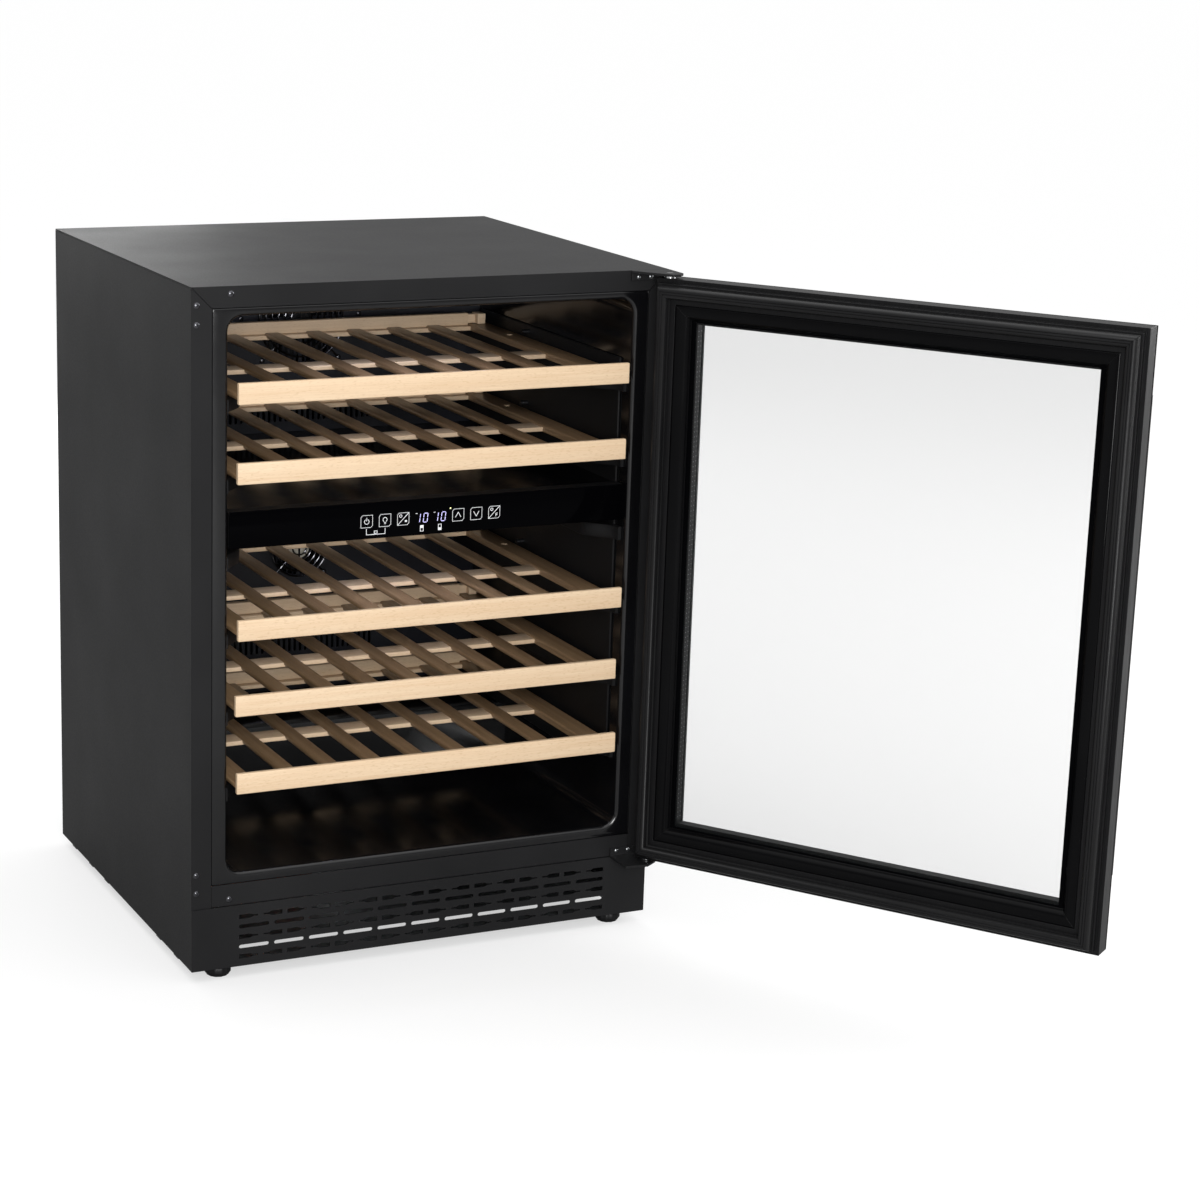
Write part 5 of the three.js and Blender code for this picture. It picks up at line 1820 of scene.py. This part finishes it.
    def symbols(self) -> list[tuple[tuple[float, float], list[Stroke]]]:
        """Where each symbol sits, from the panel's middle, and its strokes.

        Returns:
            Pairs of a place and strokes: power, lamp, zone choice, up, down, unit choice, the
            lock bracket and the two zone marks.
        """
        box = self.box()
        ring = arc((0, -0.3), 2.9, 120, 420, 12)
        bulb = arc((0, 0.8), 2.6, -60, 240, 12)
        half = self.key / 2 - 0.4
        diagonal = [(-half, -half), (half, half)]
        small = arc((-3.2, 3.6), 1.6, 0, 360, 8)
        zone_fill = [[(2.2, -3.4 + k * 0.7), (4.6, -3.4 + k * 0.7)] for k in range(3)]
        tray = [[(-1.9, 3.4), (1.9, 3.4), (1.9, -3.4), (-1.9, -3.4), (-1.9, 3.4)]]
        fill = [[(-1.3, k * 0.75), (1.3, k * 0.75)] for k in range(1, 5)]
        hook = [(-11.7, 3.4), (-11.7, -3.4), (11.7, -3.4), (11.7, 3.4)]
        clasp = [(-1.8, -2.2), (1.8, -2.2), (1.8, 0.6), (-1.8, 0.6), (-1.8, -2.2)]
        dashes = [[(-21.6, 5.2), (-19.8, 5.2)], [(1.2, 5.2), (3.0, 5.2)]]
        letter = [[(4.4, -1.4), (2.2, -1.4), (2.2, -5.0)], [(2.2, -3.2), (4.0, -3.2)]]
        return [
            ((-83.3, 0.0), [box, ring, [(0, 0.6), (0, 4.2)]]),
            ((-60.4, 0.0), [box, bulb, [(-1.0, -2.6), (1.0, -2.6)], [(-0.8, -4.0), (0.8, -4.0)]]),
            ((-37.5, 0.0), [box, diagonal, small, *zone_fill]),
            ((32.4, 0.0), [box, [(-3.4, -2.6), (0, 3.2), (3.4, -2.6)]]),
            ((55.6, 0.0), [box, [(-3.4, 2.6), (0, -3.2), (3.4, 2.6)]]),
            ((78.8, 0.0), [box, diagonal, small, *letter]),
            ((-71.9, -12.4), [hook, clasp]),
            ((-13.8, -12.9), [*tray, *fill]),
            ((9.1, -12.9), [*tray, *[[(x, -y) for x, y in stroke] for stroke in fill]]),
            ((0.0, 0.0), dashes),
        ]


# ------------------------------------------------------------------ door


@dataclass(frozen=True)
class Door:
    """The glazed door, worked out shut: profiles of inset from its edge and depth from the
    frame's rear face are carried round it, and meet on the diagonal at each corner.

    Attributes:
        body: the body that its pieces ride on.
        border_side: width of the printed border at the sides.
        border_end: width of the printed border at the top and the bottom.
        rear_gap: how far the frame's rear face stands off the cabinet when the door is shut.
    """

    body: str = "door"
    border_side: float = 52.5
    border_end: float = 49.0
    rear_gap: float = 12.0

    def ring(
        self, profile: Sequence[tuple[float, float]], ends: Sequence[float] | None = None
    ) -> Surface:
        """Carries a closed profile round the door. A corner's point lies its inset in from both
        edges: x is half the width less the inset, z is half the height less the inset.

        Args:
            profile: inset and depth pairs, closed.
            ends: the insets at the top and the bottom, where they differ from the sides.

        Returns:
            The ring.
        """
        low, high = shut("door_frame")
        half, middle = (high - low) / 2, (high + low) / 2
        shape = np.array(profile, float)
        upright = shape[:, 0] if ends is None else np.array(ends, float)
        signs = np.array([[1, -1], [1, 1], [-1, 1], [-1, -1]], float)
        rings = np.empty((4, len(shape), 3))
        rings[:, :, 0] = middle[0] + signs[:, :1] * (half[0] - shape[None, :, 0])
        rings[:, :, 1] = -self.rear_gap - shape[None, :, 1]
        rings[:, :, 2] = middle[2] + signs[:, 1:] * (half[2] - upright[None, :])
        return loft(rings, closed=True)

    def seams(self, profile: Sequence[tuple[float, float]], width: float = 0.3) -> Surface:
        """The weld where two lengths meet at a corner: the profile's outline, once to each side
        of the diagonal and a tenth of a millimetre proud.

        Args:
            profile: inset and depth pairs along the visible side.
            width: the weld's width.

        Returns:
            Four ribbons.
        """
        low, high = shut("door_frame")
        half, middle = (high - low) / 2, (high + low) / 2
        shape = np.array(profile, float)
        ribbons = []
        for sx, sz in ((1, -1), (1, 1), (-1, 1), (-1, -1)):
            x = middle[0] + sx * (half[0] - shape[:, 0])
            z = middle[2] + sz * (half[2] - shape[:, 0])
            y = -self.rear_gap - shape[:, 1]
            core = np.stack([x, y, z], axis=1)
            across = np.array([sx, 0.0, -sz]) * width / math.sqrt(8)
            proud = np.array([0.0, 0.12, 0.0])
            rows = np.stack([core - across, core + proud, core + across, core - 2 * proud], axis=1)
            ribbons.append(loft(rows))
        return joined(ribbons)

    def add(
        self, name: str, surface: Surface, finish: Finish, replaces: Sequence[str] = (), **more: Any
    ) -> None:
        """Makes a piece that rides on the door."""
        piece_from(name, surface, finish, self.body, replaces, on_door=True, **more)

    def build(self) -> None:
        """Builds the frame, panes, seals and handle."""
        frame_profile = [
            (5.0, 0.0), (28.7, 0.0), (28.7, 10.0), (30.7, 10.0), (30.7, 14.0), (44.0, 14.0),
            (44.0, 29.0), (0.0, 29.0), (0.0, 7.0), (5.0, 7.0),
        ]
        self.add("door_surround", self.ring(frame_profile), ANODISED_UPRIGHT, ["door_frame"], edge=0.5)
        self.add("door_seal", self.ring(self.seal_profile()), GASKET_VINYL, ["door_gasket"], angle=50.0)
        self.add("pane_trim", self.ring(self.trim_profile()), TRIM_PVC, ["inner_trim"], angle=35.0)
        self.add("trim_mitres", self.seams(self.trim_profile()[2:-1]), GASKET_VINYL)
        self.add("seal_mitres", self.seams(self.seal_profile()[3:-4]), TRIM_PVC)
        self.build_panes()
        self.build_spacer()
        self.build_handle()
        self.build_bushes()

    @staticmethod
    def seal_profile() -> list[tuple[float, float]]:
        """The seal's section: a foot, a pinched neck, and a magnet tube with two fine grooves.

        Returns:
            Inset and depth pairs.
        """
        left = [
            (7.6, -0.3), (7.6, -2.0), (9.6, -2.9), (8.1, -4.4), (8.0, -6.2), (9.3, -8.6),
            (10.2, -10.7),
        ]
        top = [
            (11.8, -11.4), (13.1, -11.4), (13.5, -10.8), (13.9, -11.4), (16.1, -11.4),
            (16.5, -10.8),
        ]
        mirrored = [(30.0 - inset, depth) for inset, depth in reversed(left)]
        return [*left, *top, (16.9, -11.4), (18.2, -11.4), *mirrored]

    @staticmethod
    def trim_profile() -> list[tuple[float, float]]:
        """The trim's section: a quarter of an ellipse from its rear edge down to the pane, then
        a thin lip that lies on the glass.

        Returns:
            Inset and depth pairs.
        """
        angle = np.radians(np.linspace(95, 8, 9))
        curve = np.stack([32.0 + 14.2 * np.cos(angle), 9.2 - 8.9 * np.sin(angle)], axis=1)
        foot, lip = [(29.1, 9.7), (29.1, 1.2), (30.0, 0.5)], [(47.0, 8.9), (47.0, 9.7)]
        return [*foot, *map(tuple, curve.tolist()), *lip]

    def build_panes(self) -> None:
        """Clear panes, each with a printed black border; the front one's border runs to its edge."""
        side, end = self.border_side, self.border_end
        low, high = shut("outer_glass")
        depth = [-self.rear_gap - high[1], -self.rear_gap - low[1]]
        profile = [(0.0, depth[0]), (side, depth[0]), (side, depth[1]), (0.0, depth[1])]
        self.add("front_pane_border", self.ring(profile, [0.0, end, end, 0.0]), PRINTED_GLASS, edge=0.4)
        inset = np.array([side + 0.02, 0.0, end + 0.02])
        self.add(
            "front_pane", bar(low + inset, high - inset, Axis.Z, 0.05, 0.02, 1), CLEAR_PANE, ["outer_glass"]
        )
        dress("inner_glass", CLEAR_PANE)
        rear = -self.rear_gap - shut("inner_glass")[1][1]
        printed = [(31.2, rear - 0.14), (side, rear - 0.14), (side, rear - 0.02), (31.2, rear - 0.02)]
        self.add("rear_pane_border", self.ring(printed, [31.2, end, end, 31.2]), PRINTED_GLASS)

    def build_spacer(self) -> None:
        """The spacer bar between the panes, with fine breathing holes along its inner face."""
        profile = [(45.3, 14.3), (51.0, 14.3), (52.0, 15.3), (52.0, 27.9), (51.0, 28.9), (45.3, 28.9)]
        self.add("pane_spacer", self.ring(profile), SPACER_METAL, ["glazing_spacer"])
        low, high = shut("glazing_spacer")
        inner, y, pitch = 7.0, (low[1] + high[1]) / 2, 6.0
        dots = []
        dot = [(0.0, 0.12), (0.55, 0.1), (0.6, 0.0), (0.0, 0.0)]
        heights = np.arange(low[2] + 14, high[2] - 14, pitch)
        for dy in (-3.2, 3.2):
            for x, outward in ((low[0] + inner, 1.0), (high[0] - inner, -1.0)):
                dots.extend(lathe(dot, (x, y + dy, z), Axis.X, 6, outward=outward) for z in heights)
        self.add("spacer_breathers", joined(dots), MILL_ALUMINIUM)

    def build_handle(self) -> None:
        """An upright grip with a rounded front on two turned posts."""
        low, high = shut("door_handle")
        face = -self.rear_gap - 33.3
        grip_back = low[1] + 12.0
        grip = bar((low[0], low[1], low[2]), (high[0], grip_back, high[2]), Axis.Z, 4.2, 2.2, 6)
        middle = (low[0] + high[0]) / 2
        length = face - grip_back + 0.7
        post = [(0.0, 0.0), (6.4, 0.0), (6.4, 1.6), (4.8, 3.2), (4.8, length), (0.0, length)]
        posts = [
            lathe(post, (middle, face - 0.3, z), Axis.Y, 24, outward=-1.0)
            for z in (low[2] + 60, high[2] - 60)
        ]
        self.add("door_grip", joined([grip, *posts]), ANODISED_UPRIGHT, ["door_handle"])

    def build_bushes(self) -> None:
        """Bright bushes on the pins, above and below the door."""
        low, high = shut("door_frame")
        x, y = DATUM.pivot_in_cabinet()
        bushes = [
            lathe([(4.4, 0.0), (7.0, 0.0), (7.0, h), (4.4, h), (4.4, 0.0)], (x, y, z), Axis.Z, 24)
            for z, h in ((high[2] + 0.1, 2.6), (low[2] - 1.7, 1.5))
        ]
        rings = [Surface(b.points, [f for f in b.faces if len(f) == 4]) for b in bushes]
        self.add("hinge_bushes", joined(rings), CHROME_WIRE)


@dataclass(frozen=True)
class Hinges:
    """The brackets on the cabinet and the pins that the door turns on.

    Attributes:
        edge: the width of the brackets' eased edges.
        face: the y of the brackets' front faces.
    """

    edge: float = 0.5
    face: float = -3.35

    def build(self) -> None:
        """Finishes the brackets, pins and the bracket screws."""
        for word in ("top", "bottom"):
            refined(f"{word}_hinge_bracket", POWDER_COAT, CABINET, self.edge)
            dress(f"{word}_hinge_pin", CHROME_WIRE)
        top, bottom = cad("top_hinge_bracket")[0], cad("bottom_hinge_bracket")[0]
        spots = [(top[0] + dx, top[2] + 4.4) for dx in (9, 25)]
        spots += [(bottom[0] + dx, bottom[2] + 8.5) for dx in (8, 24)]
        heads = [dome_screw((x, self.face, z), Axis.Y, -1.0, 2.6) for x, z in spots]
        piece_from("bracket_screws", joined(heads), BRIGHT_SCREW, CABINET)


# ------------------------------------------------------------------ compressor bay and feet


@dataclass(frozen=True)
class CompressorBay:
    """What stands under the liner: compressor, condenser, fan, pipes and power inlet.

    Attributes:
        pipe: the pipes' radius.
    """

    pipe: float = 3.2

    def build(self) -> None:
        """Builds the compressor and its pipes, and dresses the rest."""
        low, high = cad("compressor")
        middle = (low + high) / 2
        floor, top = low[2], high[2]
        dome = np.linspace(0.1, 1.45, 9)
        shell = [
            (0.0, floor + 12), (60.0, floor + 12), (65.5, floor + 17), (66.0, floor + 60),
            (68.0, floor + 61), (68.0, floor + 66), (66.0, floor + 67), (65.5, floor + 90),
            *zip(65.5 * np.cos(dome), floor + 90 + (top - floor - 90) * np.sin(dome)),
            (0.0, top),
        ]
        body = lathe(shell, (middle[0], middle[1], 0.0), Axis.Z, 48)
        foot = bar(
            (low[0], middle[1] - 40, floor), (high[0], middle[1] + 40, floor + 4), Axis.X, 1.8, 1.2
        )
        piece_from(
            "compressor_shell", joined([body, foot]), IRON_ENAMEL, CABINET, ["compressor"], angle=50.0
        )
        grommets = [
            lathe(
                [(0.0, 0.0), (9.0, 0.0), (9.0, 5.0), (6.0, 7.0), (9.0, 9.0), (9.0, 13.0), (0.0, 13.0)],
                (middle[0] + sx * 76, middle[1] + sy * 28, floor + 4.2),
                Axis.Z,
                18,
            )
            for sx in (-1, 1)
            for sy in (-1, 1)
        ]
        piece_from("compressor_grommets", joined(grommets), SATIN_ABS, CABINET)
        self.build_pipes(middle, floor)
        dress("condenser", COPPER_TUBE)
        dress("condenser_fan_frame", SATIN_ABS)
        dress("condenser_fan_rotor", SATIN_ABS)
        refined("power_inlet", SATIN_ABS, CABINET, 0.5)
        self.build_pins()

    def build_pipes(self, middle: Array, floor: float) -> None:
        """Two pipes from the compressor's side. Each goes its straight way times t to the power
        1.2, and is lifted by the sine of half a turn.

        Args:
            middle: the compressor's middle.
            floor: the height of its feet.
        """
        turn = np.linspace(0, 1, 40)[:, None]
        low, high = cad("condenser")
        ends = [
            (
                np.array([middle[0] - 62, middle[1] - 18, floor + 48]),
                np.array([high[0] - 3, high[1] - 20, floor + 78]),
                np.array([0.0, 0.0, 42.0]),
            ),
            (
                np.array([middle[0] - 60, middle[1] + 22, floor + 60]),
                np.array([middle[0] - 150, middle[1] + 60, floor + 120]),
                np.array([0.0, 14.0, 30.0]),
            ),
        ]
        pipes = []
        for start, stop, lift in ends:
            path = start + (stop - start) * turn**1.2 + lift * np.sin(math.pi * turn)
            pipes.append(tube(path, self.pipe, sides=12))
        piece_from("compressor_pipes", joined(pipes), COPPER_TUBE, CABINET)

    def build_pins(self) -> None:
        """Three flat contacts in the inlet's socket."""
        low, high = cad("power_inlet")
        middle = (low + high) / 2
        pins = [
            bar(
                (middle[0] + dx - 1.0, high[1] - 16, middle[2] + dz - 2.2),
                (middle[0] + dx + 1.0, high[1] - 5, middle[2] + dz + 2.2),
                Axis.Y,
                0.6,
                0.4,
            )
            for dx, dz in ((-7.0, -1.5), (0.0, 2.0), (7.0, -1.5))
        ]
        piece_from("inlet_contacts", joined(pins), CHROME_WIRE, CABINET)


@dataclass(frozen=True)
class LevellingFoot:
    """A screw-in foot: a fluted pad that flares to the floor, a collar and a stem.

    Attributes:
        end: front or rear.
        side: left or right.
        flutes: how many flutes the pad has.
        flute_depth: their depth, as a share of the pad's radius.
        pitch: the thread's pitch.
    """

    end: str
    side: str
    flutes: int = 12
    flute_depth: float = 0.022
    pitch: float = 1.25

    def build(self) -> None:
        """Builds the pad and the stem."""
        node = f"{self.end}_{self.side}_foot"
        low, high = cad(node)
        x, y = (low[0] + high[0]) / 2, (low[1] + high[1]) / 2
        reach = (high[0] - low[0]) / 2
        pad = [
            (0.0, 0.0), (reach * 0.74, 0.0), (reach * 0.8, 0.6), (reach * 0.97, 4.6),
            (reach * 0.975, 5.4), (reach * 0.975, 10.6), (reach * 0.93, 11.7),
            (reach * 0.62, 11.7), (reach * 0.58, 11.2), (9.0, 11.2), (8.6, 14.0), (0.0, 14.0),
        ]
        turned = lathe(pad, (x, y, 0.0), Axis.Z, 72, flutes=(self.flutes, self.flute_depth))
        body = f"levelling_{node}"
        piece_from(f"{node}_pad", turned, SATIN_ABS, body, [node])
        crests = np.arange(14.0, high[2] - 1.0, self.pitch)
        thread = [(0.0, 13.5)]
        for z in crests.tolist():
            thread.extend([(5.0, z), (4.3, z + 0.62)])
        thread.extend([(4.3, high[2]), (0.0, high[2])])
        piece_from(f"{node}_stem", lathe(thread, (x, y, 0.0), Axis.Z, 16), CHROME_WIRE, body)


# ------------------------------------------------------------------ studio


@dataclass(frozen=True)
class Studio:
    """A pale floor, soft light from all round, and the camera.

    Attributes:
        camera_place: the camera, in cabinet millimetres.
        bearing: degrees clockwise from straight at the front, seen from above.
        pitch: degrees above the level.
        roll: degrees that the camera is tipped.
        lens: focal length for a 36 mm wide image.
        shift: the lens's sideways and upward shift, in image widths.
        low: strength of the even light from the level.
        high: its strength from straight above.
        lights: the soft lights.
    """

    camera_place: tuple[float, float, float] = (-1322.1, -3010.8, 1282.4)
    bearing: float = 24.571
    pitch: float = -14.507
    roll: float = 1.428
    lens: float = 86.6
    shift: tuple[float, float] = (0.1052, 0.0065)
    low: float = 0.12
    high: float = 1.75
    lights: tuple[AreaLight, ...] = field(
        default=(
            AreaLight("key", (-0.9, -3.1, 1.15), (1.4, 1.2), 82.0),
            AreaLight("right_fill", (3.4, -0.2, 1.5), (2.0, 2.0), 80.0),
            AreaLight("rear_fill", (0.1, 3.6, 0.9), (1.6, 1.2), 38.0),
        )
    )

    def build(self) -> None:
        """Builds the stage and the camera."""
        scene = bpy.context.scene
        scene.view_settings.view_transform = "Standard"
        world = bpy.data.worlds.new("even_light")
        world.use_nodes = True
        self.build_sky(world.node_tree)
        scene.world = world
        reach = 60.0
        mesh = bpy.data.meshes.new("floor")
        corners = [
            (-reach, -reach, 0.0),
            (reach, -reach, 0.0),
            (reach, reach, 0.0),
            (-reach, reach, 0.0),
        ]
        mesh.from_pydata(corners, [], [(0, 1, 2, 3)])
        floor = bpy.data.objects.new("floor", mesh)
        scene.collection.objects.link(floor)
        mesh.materials.append(BACKDROP.material())
        for light in self.lights:
            light.build()
        self.build_camera(scene)

    def build_sky(self, tree: Tree) -> None:
        """The even light: its strength grows with the sine of its height, and the backdrop that
        is seen directly is plain white.

        Args:
            tree: the world's node tree.
        """
        tree.nodes.clear()
        direction = add_node(tree, "ShaderNodeTexCoord").outputs["Generated"]
        height = add_node(tree, "ShaderNodeSeparateXYZ", {"Vector": direction}).outputs["Z"]
        strength = add_node(
            tree,
            "ShaderNodeMapRange",
            {"Value": height, "To Min": self.low, "To Max": self.high},
        ).outputs["Result"]
        light = add_node(tree, "ShaderNodeBackground", {"Strength": strength})
        light.inputs["Color"].default_value = (1.0, 1.0, 1.0, 1.0)
        seen = add_node(tree, "ShaderNodeBackground", {"Color": (1.0, 1.0, 1.0, 1.0)})
        direct = add_node(tree, "ShaderNodeLightPath").outputs["Is Camera Ray"]
        mixed = add_node(
            tree,
            "ShaderNodeMixShader",
            {0: direct, 1: light.outputs["Background"], 2: seen.outputs["Background"]},
        )
        add_node(tree, "ShaderNodeOutputWorld", {"Surface": mixed.outputs["Shader"]})

    def build_camera(self, scene: bpy.types.Scene) -> None:
        """The camera: turned by its bearing about the upright, tipped by its pitch, then rolled
        about its own line of sight.

        Args:
            scene: the scene it is added to.
        """
        data = bpy.data.cameras.new("camera")
        data.lens, data.sensor_width = self.lens, 36.0
        data.shift_x, data.shift_y = self.shift
        data.clip_end = 200.0
        camera = bpy.data.objects.new("camera", data)
        turn = (
            Matrix.Rotation(math.radians(-self.bearing), 4, "Z")
            @ Matrix.Rotation(math.radians(90 + self.pitch), 4, "X")
            @ Matrix.Rotation(math.radians(self.roll), 4, "Z")
        )
        place = DATUM.to_frame(np.array([self.camera_place]))[0]
        camera.matrix_world = Matrix.Translation(Vector(place.tolist())) @ turn
        scene.collection.objects.link(camera)
        scene.camera = camera


# ------------------------------------------------------------------ the whole


def main() -> None:
    """Builds the cooler, piece by piece, and its studio."""
    logging.basicConfig(level=logging.INFO, format="%(name)s: %(message)s")
    Studio().build()
    CabinetShell().build()
    Liner().build()
    numbers = range(1, 6)
    bottoms = [cad(f"shelf_{number}_front_board")[0][2] for number in numbers]
    rack_bottoms = [cad(f"shelf_{number}_rack")[0][2] for number in numbers]
    spare_ledge = 2 * rack_bottoms[2] - rack_bottoms[1]
    tops = [bottom - 0.3 for bottom in [*rack_bottoms, spare_ledge]]
    ShelfSupports().build(tops, [bottom + 17.0 for bottom in bottoms])
    for number in numbers:
        Shelf(number).build()
    Ducts().build()
    ControlUnit().build()
    Door().build()
    Hinges().build()
    CompressorBay().build()
    for end in ("front", "rear"):
        for side in ("left", "right"):
            LevellingFoot(end, side).build()


if __name__ == "__main__":
    main()
